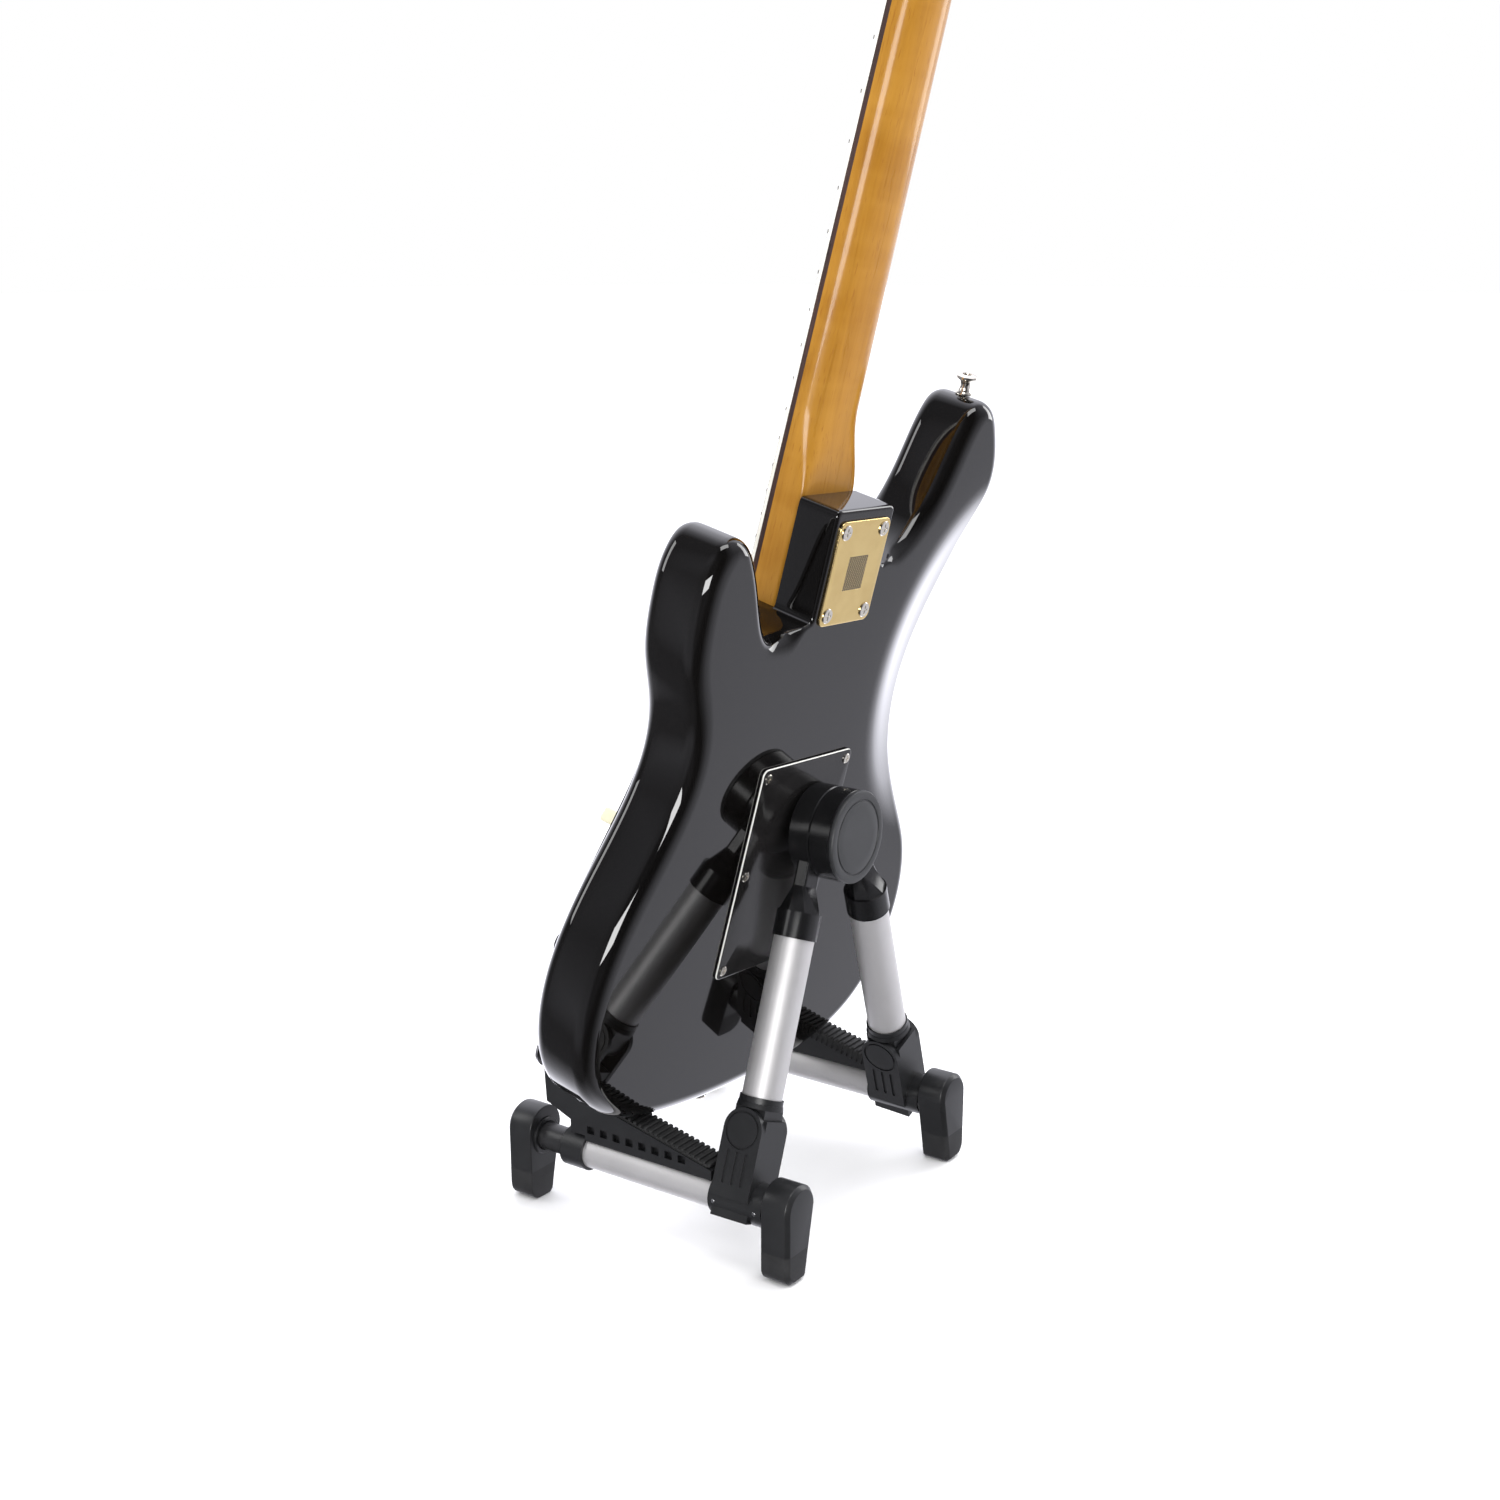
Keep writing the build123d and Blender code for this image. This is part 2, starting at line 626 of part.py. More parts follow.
def pickguard_and_pickups():
    with BuildPart() as guard:
        with BuildSketch(Plane.XY.offset(body_t)):
            with BuildLine():
                Spline(
                    (30, 316), (60, 306), (84, 334), (104, 362), (118, 352), (119, 318), (108, 286),
                    (101, 246), (116, 196), (136, 150), (144, 104), (134, 84), (112, 88), (84, 118),
                    (56, 142), (44, 152),
                )
                Line((44, 152), (-44, 152))
                Spline(
                    (-44, 152), (-60, 176), (-64, 220), (-62, 262), (-72, 306), (-82, 350), (-74, 372),
                    (-58, 362), (-42, 352), (-30, 350),
                )
                Line((-30, 350), (-30, 316))
                Line((-30, 316), (30, 316))
            make_face()
            for place in pickup_places():
                with Locations(place):
                    RectangleRounded(85, 19, 9, mode=Mode.SUBTRACT)
            for x, y in knob_at.values():
                with Locations((x, y)):
                    Circle(4.5, mode=Mode.SUBTRACT)
            with Locations(selector_at):
                SlotOverall(30, 3, rotation=-55, mode=Mode.SUBTRACT)
        extrude(amount=guard_t)
    save(guard, "pickguard", guitar_place)

    with BuildPart() as pickups:
        for place in pickup_places():
            with BuildSketch(Plane.XY.offset(body_t - 12)):
                with Locations(place):
                    RectangleRounded(84.2, 18.2, 8.6)
            extrude(amount=18.4)
        chamfer(pickups.faces().group_by(Axis.Z)[-1].edges(), 0.8)
    save(pickups, "pickups", guitar_place)


def controls():
    for name, (x, y) in knob_at.items():
        with BuildPart() as knob:
            with Locations((x, y, body_t + guard_t + 0.5)):
                Cone(knob_r, knob_r - 1.5, knob_h, align=(Align.CENTER, Align.CENTER, Align.MIN))
            chamfer(knob.faces().sort_by(Axis.Z)[-1].edges(), 0.8)
            with Locations((x, y, body_t - 8)):
                Cylinder(3.0, 12, align=(Align.CENTER, Align.CENTER, Align.MIN))
        save(knob, name, guitar_place)

    x, y = selector_at
    with BuildPart() as lever:
        with BuildSketch(Plane(origin=(x, y, body_t - 10))):
            RectangleRounded(6, 1.6, 0.6, rotation=-55)
        extrude(amount=24)
        with BuildSketch(Plane(origin=(x, y, body_t + 12))):
            RectangleRounded(9, 6, 2.2, rotation=-55)
        extrude(amount=12)
        chamfer(lever.faces().sort_by(Axis.Z)[-1].edges(), 1.2)
    save(lever, "selector_lever", guitar_place)

    with BuildPart() as jack:
        with BuildSketch(Plane.XY.offset(body_t)):
            with Locations(jack_at):
                SlotOverall(46, 26, rotation=-60)
        extrude(amount=1.6)
        with BuildSketch(Plane.XY.offset(body_t - jack_len + 3)):
            with Locations(jack_at):
                Circle(7)
        extrude(amount=jack_len)
        with Locations(Location((*jack_at, body_t + 3))):
            Hole(jack_r, depth=jack_len)
    save(jack, "output_jack", guitar_place)


def string_x(i, span):
    return -span / 2 + span * i / 5


def tuner_posts_at():
    """Post centres, bass string first, along the headstock's bass edge."""
    return [(tuner_x + 2.5 * i, nut_y + 34 + tuner_pitch * i) for i in range(6)]


def bridge_parts():
    with BuildPart() as plate:
        with Locations((0, 134, body_t + 2.1)):
            Box(76, 36, 2.4)
        with BuildSketch(Plane.XY.offset(4)):
            with Locations((0, 136)):
                RectangleRounded(72, 12, 1)
        extrude(amount=body_t - 2)
    save(plate, "bridge_plate", guitar_place)

    with BuildPart() as saddles:
        for i in range(6):
            with Locations((string_x(i, saddle_span), saddle_y - 2, body_t + 3.3)):
                Box(9.8, 16, 9.6, align=(Align.CENTER, Align.CENTER, Align.MIN))
        chamfer(saddles.faces().group_by(Axis.Z)[-1].edges(), 0.6)
    save(saddles, "bridge_saddles", guitar_place)

    socket = (35, 140, body_t + 3.6)
    with BuildPart() as arm:
        with BuildLine():
            FilletPolyline(socket, (35, 140, body_t + 22), (38, 96, body_t + 30), (62, 48, body_t + 28), radius=8)
        with BuildSketch(Plane(origin=socket)):
            Circle(2.5)
        sweep()
    save(arm, "tremolo_arm", guitar_place)

    with BuildPart() as springs:
        for x in spring_x:
            with Locations(Location((x, 180, 8), (90, 0, 0))):
                Cylinder(4.2, 76)
    save(springs, "tremolo_springs", guitar_place)


def strings():
    with BuildPart() as wires:
        for i, (x, y) in enumerate(tuner_posts_at()):
            r = string_r[i]
            low = Vector(string_x(i, saddle_span), saddle_y - 2, body_t + 12.9 + r + 0.02)
            high = Vector(string_x(i, nut_span), nut_y + 3.8, board_top + 1.62 + r)
            post = Vector(x + 3.1 + r, y, head_top + 7)
            for start, end in ((low, high), (high, post)):
                with BuildSketch(Plane(origin=start, z_dir=end - start)):
                    Circle(r)
                extrude(amount=(end - start).length)
    save(wires, "strings", guitar_place)


def tuners():
    shaft_z = head_top - head_t - shaft_drop
    with BuildPart() as housings:
        for x, y in tuner_posts_at():
            with Locations((x, y, head_top - head_t)):
                Box(15, 18, 9, align=(Align.CENTER, Align.CENTER, Align.MAX))
            with Locations(Location((x - 7.5, y, shaft_z), (0, -90, 0))):
                Cylinder(4.2, 5, align=(Align.CENTER, Align.CENTER, Align.MIN))
        for x, y in tuner_posts_at():
            with Locations(Location((x - 13, y, shaft_z), (0, 90, 0))):
                Cylinder(shaft_r + run_gap, 12, align=(Align.CENTER, Align.CENTER, Align.MIN), mode=Mode.SUBTRACT)
    save(housings, "tuner_housings", guitar_place)

    with BuildPart() as posts:
        for x, y in tuner_posts_at():
            with Locations((x, y, head_top - head_t)):
                Cylinder(post_r, head_t, align=(Align.CENTER, Align.CENTER, Align.MIN))
            with Locations((x, y, head_top)):
                Cylinder(3.0, 13, align=(Align.CENTER, Align.CENTER, Align.MIN))
    save(posts, "tuner_posts", guitar_place)

    for i, (x, y) in enumerate(tuner_posts_at()):
        with BuildPart() as button:
            with Locations(Location((x - 2, y, shaft_z), (0, -90, 0))):
                Cylinder(shaft_r, 18, align=(Align.CENTER, Align.CENTER, Align.MIN))
            with Locations((x - 23, y, shaft_z)):
                Box(13, 16, 6)
            fillet(button.edges().filter_by(Axis.Z).group_by(Axis.X)[0], 4)
        save(button, f"tuner_button_{i + 1}", guitar_place)


hub_parts()
for side, name in ((1, "left"), (-1, "right")):
    hub_drum(side, name)
    leg_parts(side, name)
    knuckle(side, name)
    bar_parts(side, name)
    feet(side, name)
    arm_parts(side, name)
guitar_body()
neck()
fingerboard_parts()
back_plates()
guitar_screws()
strap_buttons()
pickguard_and_pickups()
controls()
bridge_parts()
strings()
tuners()
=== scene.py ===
import json
from math import cos, pi, radians, sin, sqrt, tan

import bmesh
import bpy
import numpy as np
from mathutils import Matrix, Vector
from mathutils.geometry import delaunay_2d_cdt


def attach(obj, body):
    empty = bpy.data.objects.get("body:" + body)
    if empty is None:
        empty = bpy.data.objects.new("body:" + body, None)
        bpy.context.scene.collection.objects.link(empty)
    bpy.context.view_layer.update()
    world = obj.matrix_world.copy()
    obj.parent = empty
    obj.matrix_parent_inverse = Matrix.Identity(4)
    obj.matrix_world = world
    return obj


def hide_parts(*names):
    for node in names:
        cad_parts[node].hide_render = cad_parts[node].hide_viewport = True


# Electric guitar leaning on a folding floor stand, seen from behind. Shapes are in millimetres: the
# guitar's in its own axes (x to the treble side, y up the neck from the butt, z from the back to the
# strings), the stand's along the frame's axes from the middle between the legs. A matrix puts each
# one in the frame, which is in metres.

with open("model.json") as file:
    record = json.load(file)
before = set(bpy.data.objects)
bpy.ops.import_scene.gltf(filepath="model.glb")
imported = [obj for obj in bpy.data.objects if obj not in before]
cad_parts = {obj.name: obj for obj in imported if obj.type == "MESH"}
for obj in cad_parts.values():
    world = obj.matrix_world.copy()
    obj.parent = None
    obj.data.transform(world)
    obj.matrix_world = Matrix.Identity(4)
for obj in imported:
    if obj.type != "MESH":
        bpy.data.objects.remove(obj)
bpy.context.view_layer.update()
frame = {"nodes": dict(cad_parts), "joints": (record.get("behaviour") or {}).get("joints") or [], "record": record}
record = frame["record"]
joints = {joint["name"]: joint for joint in frame["joints"]}
mounts = {mount["name"]: mount for mount in record["mounts"]}
slot_colour = {slot["slot"]: slot["base_color"] for slot in record["materials"]}
node_slot = {part["node"]: part["material_slot"] for part in record["subparts"]}
mm = 0.001

# guitar body, and the plates and holes in its back
body_t = 44.5
edge_r = 11.0
pocket_depth = 16.0
heel_top = body_t - pocket_depth
strap_button_out = 9.0                          # from the butt to the button's mount
plate_size, plate_y, plate_t = (51, 64), 353.5, 1.4
plate_screws = (38.1, 50.8)
cover_size, cover_y, cover_t = (90.7, 139.9), 164.2, 2.0
cover_slot, cover_slot_y = (60, 12), 132.2
cavity_size, cavity_y, cavity_depth = (62, 116), 168, 16.0
jack_place, jack_r, jack_depth = (126, 60), 9, 26.0

# neck
nut_y, scale_len, saddle_y = 778.0, 648.0, 130.0
pocket_end, pocket_mouth = 317.0, 392.0
heel_w, nut_w = 56.0, 42.0
shaft_depth, shaft_taper = 17.4, 2.0            # below the fingerboard, and how much less at the nut
board_t, board_top, board_end = 5.6, 53.9, 323.0
head_top, head_t, head_len = 43.9, 14.0, 190.0

# front
pickups = ((282, 0), (226, 0), (168, 9))        # distance up the body and slant
pickup_top = body_t + 6.0
string_gap = 10.4
knob_places = {"volume_knob": (70, 163), "middle_tone_knob": (95, 137), "neck_tone_knob": (120, 111)}
guard_top = body_t + 2.9


# ---- places ----------------------------------------------------------------------------------
def axes_matrix(x, y, z, origin):
    """The matrix of a place whose axes and origin are given."""
    turn = Matrix((x, y, z)).transposed().to_4x4()
    return Matrix.Translation(origin) @ turn


def guitar_matrix():
    """The guitar's axes in the frame, from its lift, a knob's axis and the strap button's mount."""
    up_neck = Vector(joints["guitar_lift"]["axis"])
    to_strings = Vector(joints["volume_knob_turn"]["axis"])
    if to_strings.y > 0:
        to_strings.negate()
    button = mounts["butt_strap_button"]
    origin = Vector(button["pos_m"]) + up_neck * strap_button_out * mm - to_strings * body_t / 2 * mm
    return axes_matrix(up_neck.cross(to_strings), up_neck, to_strings, origin)


def shifted(x, y, z):
    return Matrix.Translation((x, y, z))


def turned_about(axis, degrees):
    return Matrix.Rotation(radians(degrees), 4, axis)


guitar = guitar_matrix()


# ---- mesh helpers ----------------------------------------------------------------------------
class Skin:
    """Points and faces of one mesh, in millimetres, built ring by ring."""

    def __init__(self):
        self.points = []
        self.faces = []

    def ring(self, points):
        start = len(self.points)
        self.points.extend(tuple(float(v) for v in p) for p in points)
        return list(range(start, len(self.points)))

    def quad(self, *corners):
        """A face of four corners, or of fewer where neighbours are the same point."""
        kept = [v for k, v in enumerate(corners) if v != corners[k - 1]]
        if len(kept) > 2:
            self.faces.append(kept)

    def bridge(self, a, b):
        for i in range(len(a)):
            j = (i + 1) % len(a)
            self.quad(a[i], a[j], b[j], b[i])

    def fan(self, ring, point, flip=False):
        centre = self.ring([point])[0]
        for i in range(len(ring)):
            face = [ring[i], ring[(i + 1) % len(ring)], centre]
            self.faces.append(face[::-1] if flip else face)

    def cap(self, ring, holes=(), inner=(), height=None, flip=False):
        """Fills a ring seen along z, leaving out the holes; inner points take the height asked for."""
        loops = [list(ring)] + [list(hole) for hole in holes]
        source = [v for loop in loops for v in loop]
        flat = [Vector(self.points[v][:2]) for v in source] + [Vector(p) for p in inner]
        edges = []
        start = 0
        for loop in loops:
            edges += [(start + i, start + (i + 1) % len(loop)) for i in range(len(loop))]
            start += len(loop)
        verts, _, faces, origins, _, _ = delaunay_2d_cdt(flat, edges, [], 2, 1e-5)
        index = []
        for vert, origin in zip(verts, origins):
            known = [o for o in origin if o < len(source)]
            if known:
                index.append(source[known[0]])
            else:
                z = height(vert.x, vert.y) if height else self.points[ring[0]][2]
                index.append(self.ring([(vert.x, vert.y, z)])[0])
        for face in faces:
            made = [index[v] for v in face]
            self.faces.append(made[::-1] if flip else made)

    def object(self, name, material, place=None, sharp=None):
        mesh = bpy.data.meshes.new(name)
        mesh.from_pydata([Vector(p) * mm for p in self.points], [], self.faces)
        mesh.validate()
        mesh.update()
        for polygon in mesh.polygons:
            polygon.use_smooth = True
        if sharp is not None:
            mesh.set_sharp_from_angle(angle=radians(sharp))
        mesh.materials.append(material)
        made = bpy.data.objects.new(name, mesh)
        bpy.context.scene.collection.objects.link(made)
        made.matrix_world = place or Matrix.Identity(4)
        return made


outline_step = 2.5


def spline_points(points, closed=True, step=outline_step):
    """Cubic spline through the points, with knots spaced by chord length, in even steps."""
    p = np.array(points, float)
    n = len(p)
    spans = n if closed else n - 1
    after = np.roll(p, -1, 0)
    h = np.linalg.norm(after - p, axis=1)
    rows = np.zeros((n, n))
    right = np.zeros((n, 2))
    for i in range(n):
        before, behind = (i - 1) % n, (i + 1) % n
        if not closed and i in (0, n - 1):
            other, span = (1, h[0]) if i == 0 else (n - 2, h[n - 2])
            rows[i, i], rows[i, other] = 2 / span, 1 / span
            right[i] = 3 * (p[max(i, other)] - p[min(i, other)]) / span**2
            continue
        rows[i, before] += 1 / h[before]
        rows[i, i] += 2 / h[before] + 2 / h[i]
        rows[i, behind] += 1 / h[i]
        right[i] = 3 * ((p[i] - p[before]) / h[before] ** 2 + (p[behind] - p[i]) / h[i] ** 2)
    slope = np.linalg.solve(rows, right)
    fine = []
    t = np.linspace(0, 1, 40, endpoint=False)[:, None]
    for i in range(spans):
        j = (i + 1) % n
        a, b = h[i] * slope[i], h[i] * slope[j]
        fine.append(p[i] * (2 * t**3 - 3 * t**2 + 1) + a * (t**3 - 2 * t**2 + t)
                    + p[j] * (3 * t**2 - 2 * t**3) + b * (t**3 - t**2))
    path = np.vstack(fine + [p[:1] if closed else p[-1:]])
    return even_steps(path, step)[:-1] if closed else even_steps(path, step)


def even_steps(path, step=None, count=None):
    """The path again, with points evenly spaced along it."""
    path = np.array(path, float)
    run = np.concatenate(([0], np.cumsum(np.linalg.norm(np.diff(path, axis=0), axis=1))))
    count = count or max(2, int(round(run[-1] / step)) + 1)
    at = np.linspace(0, run[-1], count)
    return np.stack([np.interp(at, run, path[:, k]) for k in range(path.shape[1])], 1)


def rounded(corners, closed=True, steps=5):
    """Polyline with its corners (x, y, radius) rounded by arcs."""
    count = len(corners)
    path = []
    for i, (x, y, radius) in enumerate(corners):
        here = np.array((x, y), float)
        if radius <= 0 or (not closed and i in (0, count - 1)):
            path.append(here)
            continue
        before = np.array(corners[i - 1][:2], float) - here
        after = np.array(corners[(i + 1) % count][:2], float) - here
        before /= np.linalg.norm(before)
        after /= np.linalg.norm(after)
        half = np.arccos(np.clip(before @ after, -1, 1)) / 2
        middle = before + after
        centre = here + middle / np.linalg.norm(middle) * radius / sin(half)
        start = here + before * radius / tan(half) - centre
        end = here + after * radius / tan(half) - centre
        angle = pi - 2 * half
        for k in range(steps + 1):
            t = k / steps
            mix = (start * sin((1 - t) * angle) + end * sin(t * angle)) / sin(angle)
            path.append(centre + mix)
    return np.array(path)


def box_outline(w, l, r, centre=(0, 0), steps=5):
    x, y = centre
    a, b = w / 2, l / 2
    corners = [(x + a, y - b, r), (x + a, y + b, r), (x - a, y + b, r), (x - a, y - b, r)]
    return rounded(corners, steps=steps)


def full_turn(count):
    """Evenly spaced angles of one turn."""
    return np.linspace(0, 2 * pi, count, endpoint=False)


def circle_outline(r, centre=(0, 0), count=24):
    """Circle, or a shape about a centre when r holds one radius for each point."""
    turn = full_turn(count)
    return np.stack([centre[0] + r * np.cos(turn), centre[1] + r * np.sin(turn)], 1)


def at_height(path, z):
    """An outline's points, all at one height."""
    return np.column_stack([path, np.full(len(path), z)])


def counterclockwise(path):
    x, y = path[:, 0], path[:, 1]
    area = np.sum(x * np.roll(y, -1) - np.roll(x, -1) * y)
    return path if area > 0 else path[::-1]


def outward(path):
    """Offset directions that move every side of a counterclockwise loop out by one."""
    ahead = np.roll(path, -1, 0) - path
    side = np.stack([ahead[:, 1], -ahead[:, 0]], 1) / np.linalg.norm(ahead, axis=1)[:, None]
    before = np.roll(side, 1, 0)
    return (side + before) / (1 + np.sum(side * before, 1))[:, None].clip(0.4, None)


def edge_profile(r, steps):
    """(inset, rise) of a quarter round, or of a profile given point by point, from flat to wall."""
    if isinstance(r, list):
        return r
    turns = [k / steps * pi / 2 for k in range(steps + 1)]
    return [(r * (1 - sin(t)), r * (1 - cos(t))) for t in turns]


def slab_skin(path, z0, z1, low=0.5, high=0.5, holes=(), steps=4):
    """Closed slab with rounded lower and upper edges and straight holes through it."""
    path = counterclockwise(np.array(path, float))
    out = outward(path)
    skin = Skin()
    rings = []
    for inset, rise in edge_profile(low, steps):
        rings.append(skin.ring(at_height(path - out * inset, z0 + rise)))
    for inset, rise in reversed(edge_profile(high, steps)):
        rings.append(skin.ring(at_height(path - out * inset, z1 - rise)))
    for a, b in zip(rings, rings[1:]):
        skin.bridge(a, b)
    low_holes, high_holes = [], []
    for hole in holes:
        hole = counterclockwise(np.array(hole, float))
        below = skin.ring(at_height(hole, z0))
        above = skin.ring(at_height(hole, z1))
        skin.bridge(above, below)
        low_holes.append(below)
        high_holes.append(above)
    skin.cap(rings[0], low_holes, flip=True)
    skin.cap(rings[-1], high_holes)
    return skin


def lathe_skin(profile, segments=48, closed=False):
    """Turned piece: (radius, height) points about the z axis, closed into a ring when asked."""
    skin = Skin()
    rings = []
    for r, h in profile:
        if r < 1e-6:
            rings.append(skin.ring([(0, 0, h)]) * segments)
        else:
            rings.append(skin.ring([(x, y, h) for x, y in circle_outline(r, count=segments)]))
    for a, b in zip(rings, rings[1:]):
        skin.bridge(a, b)
    if closed:
        skin.bridge(rings[-1], rings[0])
    return skin


def add_skin(skin, other, place):
    """Puts a copy of another skin into this one, moved by a matrix in millimetres."""
    start = len(skin.points)
    skin.points.extend(tuple(place @ Vector(p)) for p in other.points)
    skin.faces.extend([v + start for v in face] for face in other.faces)


def moved(skin, place):
    """The same skin at another place, as a skin of its own."""
    made = Skin()
    add_skin(made, skin, place)
    return made


# ---- materials -------------------------------------------------------------------------------
class Shader:
    """Principled material with a few shorthands for procedural nodes.

    Patterns follow the piece's own coordinates in metres, so a noise's scale is per metre.
    """

    def __init__(self, name, colour, roughness, **sockets):
        self.material = bpy.data.materials.new(name)
        self.material.use_nodes = True
        self.tree = self.material.node_tree
        self.surface = self.tree.nodes["Principled BSDF"]
        self.surface.inputs["Base Color"].default_value = (*colour[:3], 1)
        self.surface.inputs["Roughness"].default_value = roughness
        for key, value in sockets.items():
            self.surface.inputs[key.replace("_", " ")].default_value = value
        self.coords = self.node("ShaderNodeTexCoord").outputs["Object"]

    def node(self, kind, **settings):
        made = self.tree.nodes.new(kind)
        for key, value in settings.items():
            setattr(made, key, value)
        return made

    def link(self, source, target):
        self.tree.links.new(source, target)

    def stretched(self, scale, turn=(0, 0, 0)):
        """Coordinates that draw a pattern out along the axes with a small scale."""
        mapping = self.node("ShaderNodeMapping")
        mapping.inputs["Scale"].default_value = scale
        mapping.inputs["Rotation"].default_value = turn
        self.link(self.coords, mapping.inputs["Vector"])
        return mapping.outputs["Vector"]

    def noise(self, scale, detail=3.0, roughness=0.55, vector=None, distortion=0.0):
        made = self.node("ShaderNodeTexNoise")
        made.inputs["Scale"].default_value = scale
        made.inputs["Detail"].default_value = detail
        made.inputs["Roughness"].default_value = roughness
        made.inputs["Distortion"].default_value = distortion
        self.link(vector or self.coords, made.inputs["Vector"])
        return made.outputs["Fac"]

    def ramp(self, source, *stops):
        made = self.node("ShaderNodeValToRGB")
        points = made.color_ramp.elements
        while len(points) < len(stops):
            points.new(0.5)
        for point, (at, colour) in zip(points, stops):
            point.position = at
            shade = colour if isinstance(colour, tuple) else (colour,) * 3
            point.color = (*shade, 1)
        self.link(source, made.inputs["Fac"])
        return made.outputs["Color"]

    def math(self, operation, a, b=0.0):
        made = self.node("ShaderNodeMath", operation=operation)
        for socket, value in zip(made.inputs, (a, b)):
            if isinstance(value, (int, float)):
                socket.default_value = value
            else:
                self.link(value, socket)
        return made.outputs[0]

    def mix(self, factor, a, b):
        made = self.node("ShaderNodeMix", data_type="RGBA")
        sockets = [made.inputs[0], made.inputs[6], made.inputs[7]]    # factor and the two colours
        for socket, value in zip(sockets, (factor, a, b)):
            if isinstance(value, (int, float)):
                socket.default_value = value
            elif isinstance(value, tuple):
                socket.default_value = (*value[:3], 1)
            else:
                self.link(value, socket)
        return made.outputs[2]

    def paint(self, colour):
        self.link(colour, self.surface.inputs["Base Color"])

    def polish(self, source, low, high):
        """Roughness between low and high, from a 0 to 1 value."""
        made = self.node("ShaderNodeMapRange")
        made.inputs["To Min"].default_value = low
        made.inputs["To Max"].default_value = high
        self.link(source, made.inputs["Value"])
        self.link(made.outputs["Result"], self.surface.inputs["Roughness"])

    def bump(self, source, height):
        """Bump of a height in metres."""
        made = self.node("ShaderNodeBump")
        made.inputs["Strength"].default_value = 1.0
        made.inputs["Distance"].default_value = height
        self.link(source, made.inputs["Height"])
        self.link(made.outputs["Normal"], self.surface.inputs["Normal"])


def tint(colour, factor):
    return tuple(min(1.0, c * factor) for c in colour[:3])


def lacquer():
    """Deep black under a clear coat, with faint hairlines and a slow unevenness."""
    s = Shader("black_lacquer", (0.0075, 0.0068, 0.0062), 0.07,
               Coat_Weight=1.0, Coat_Roughness=0.018, Specular_IOR_Level=0.08)
    s.paint(s.ramp(s.noise(9, 2), (0.3, (0.0020, 0.0018, 0.0017)), (0.8, (0.0034, 0.0029, 0.0026))))
    hairlines = s.noise(900, 2, vector=s.stretched((1, 0.04, 1), (0, 0, 0.5)))
    s.polish(s.ramp(hairlines, (0.58, 0.0), (0.75, 1.0)), 0.05, 0.13)
    s.bump(s.noise(260, 1), 0.0000022)
    return s.material


def maple():
    """Amber-tinted maple: grain along the neck, flame across it and short dark flecks."""
    s = Shader("maple", (0.40, 0.18, 0.02), 0.34,
               Coat_Weight=0.3, Coat_Roughness=0.08, Specular_IOR_Level=0.15)
    along = s.stretched((1.0, 0.06, 1.0))
    grain = s.noise(170, 5, 0.6, along, 0.6)
    base = s.ramp(grain, (0.25, (0.265, 0.108, 0.008)), (0.5, (0.34, 0.148, 0.012)),
                  (0.8, (0.41, 0.19, 0.020)))
    flame = s.noise(38, 2, 0.5, s.stretched((0.25, 1.0, 0.4)), 0.4)
    base = s.mix(s.ramp(flame, (0.35, 0.0), (0.75, 0.45)), base, (0.52, 0.27, 0.042))
    flecks = s.noise(900, 2, 0.5, s.stretched((1.0, 0.10, 1.0)))
    base = s.mix(s.ramp(flecks, (0.62, 0.0), (0.74, 0.55)), base, (0.24, 0.085, 0.008))
    s.paint(base)
    s.polish(grain, 0.22, 0.36)
    s.bump(flecks, 0.00001)
    return s.material


def rosewood():
    """Dark grain with fine open pores along it."""
    s = Shader("rosewood", (0.045, 0.016, 0.011), 0.45)
    along = s.stretched((1.0, 0.05, 1.0))
    grain = s.noise(260, 5, 0.65, along, 0.4)
    base = s.ramp(grain, (0.25, (0.020, 0.0075, 0.006)), (0.55, (0.050, 0.018, 0.012)),
                  (0.85, (0.105, 0.040, 0.024)))
    pores = s.noise(1500, 2, 0.5, s.stretched((1.0, 0.05, 1.0)))
    s.paint(s.mix(s.ramp(pores, (0.60, 0.0), (0.68, 0.85)), base, (0.010, 0.004, 0.003)))
    s.polish(grain, 0.36, 0.55)
    s.bump(s.ramp(pores, (0.58, 1.0), (0.70, 0.0)), 0.00006)
    return s.material


def brushed(name, colour, low, high, along=(0.05, 1.0, 1.0), metal=1.0):
    """Metal with fine lines, faint smudges and slightly uneven colour; roughness low to high."""
    s = Shader(name, colour, low, Metallic=metal)
    lines = s.noise(700, 3, 0.6, s.stretched(along))
    smudge = s.noise(28, 4, 0.6)
    s.paint(s.mix(s.ramp(smudge, (0.4, 0.0), (0.7, 0.35)), colour, tint(colour, 0.82)))
    s.polish(s.math("MULTIPLY", s.math("ADD", lines, smudge), 0.5), low, high)
    s.bump(lines, 0.000004)
    return s.material


def plastic(name, colour, roughness, grain=0.000010):
    """Moulded plastic: fine spark texture, soft mottling and a little rubbed shine."""
    s = Shader(name, colour, roughness)
    mottle = s.noise(45, 4, 0.6)
    s.paint(s.mix(s.ramp(mottle, (0.35, 0.0), (0.75, 0.6)), tint(colour, 0.85), tint(colour, 1.35)))
    s.polish(mottle, roughness - 0.07, roughness + 0.09)
    s.bump(s.noise(1400, 3, 0.6), grain)
    return s.material


def rubber(name, colour):
    """Matt rubber with a little pale dust on it."""
    s = Shader(name, colour, 0.62)
    dust = s.noise(60, 6, 0.7)
    s.paint(s.mix(s.ramp(dust, (0.48, 0.0), (0.78, 0.5)), tint(colour, 0.9), tint(colour, 2.2)))
    s.polish(dust, 0.5, 0.75)
    s.bump(s.noise(2200, 3, 0.7), 0.000014)
    return s.material


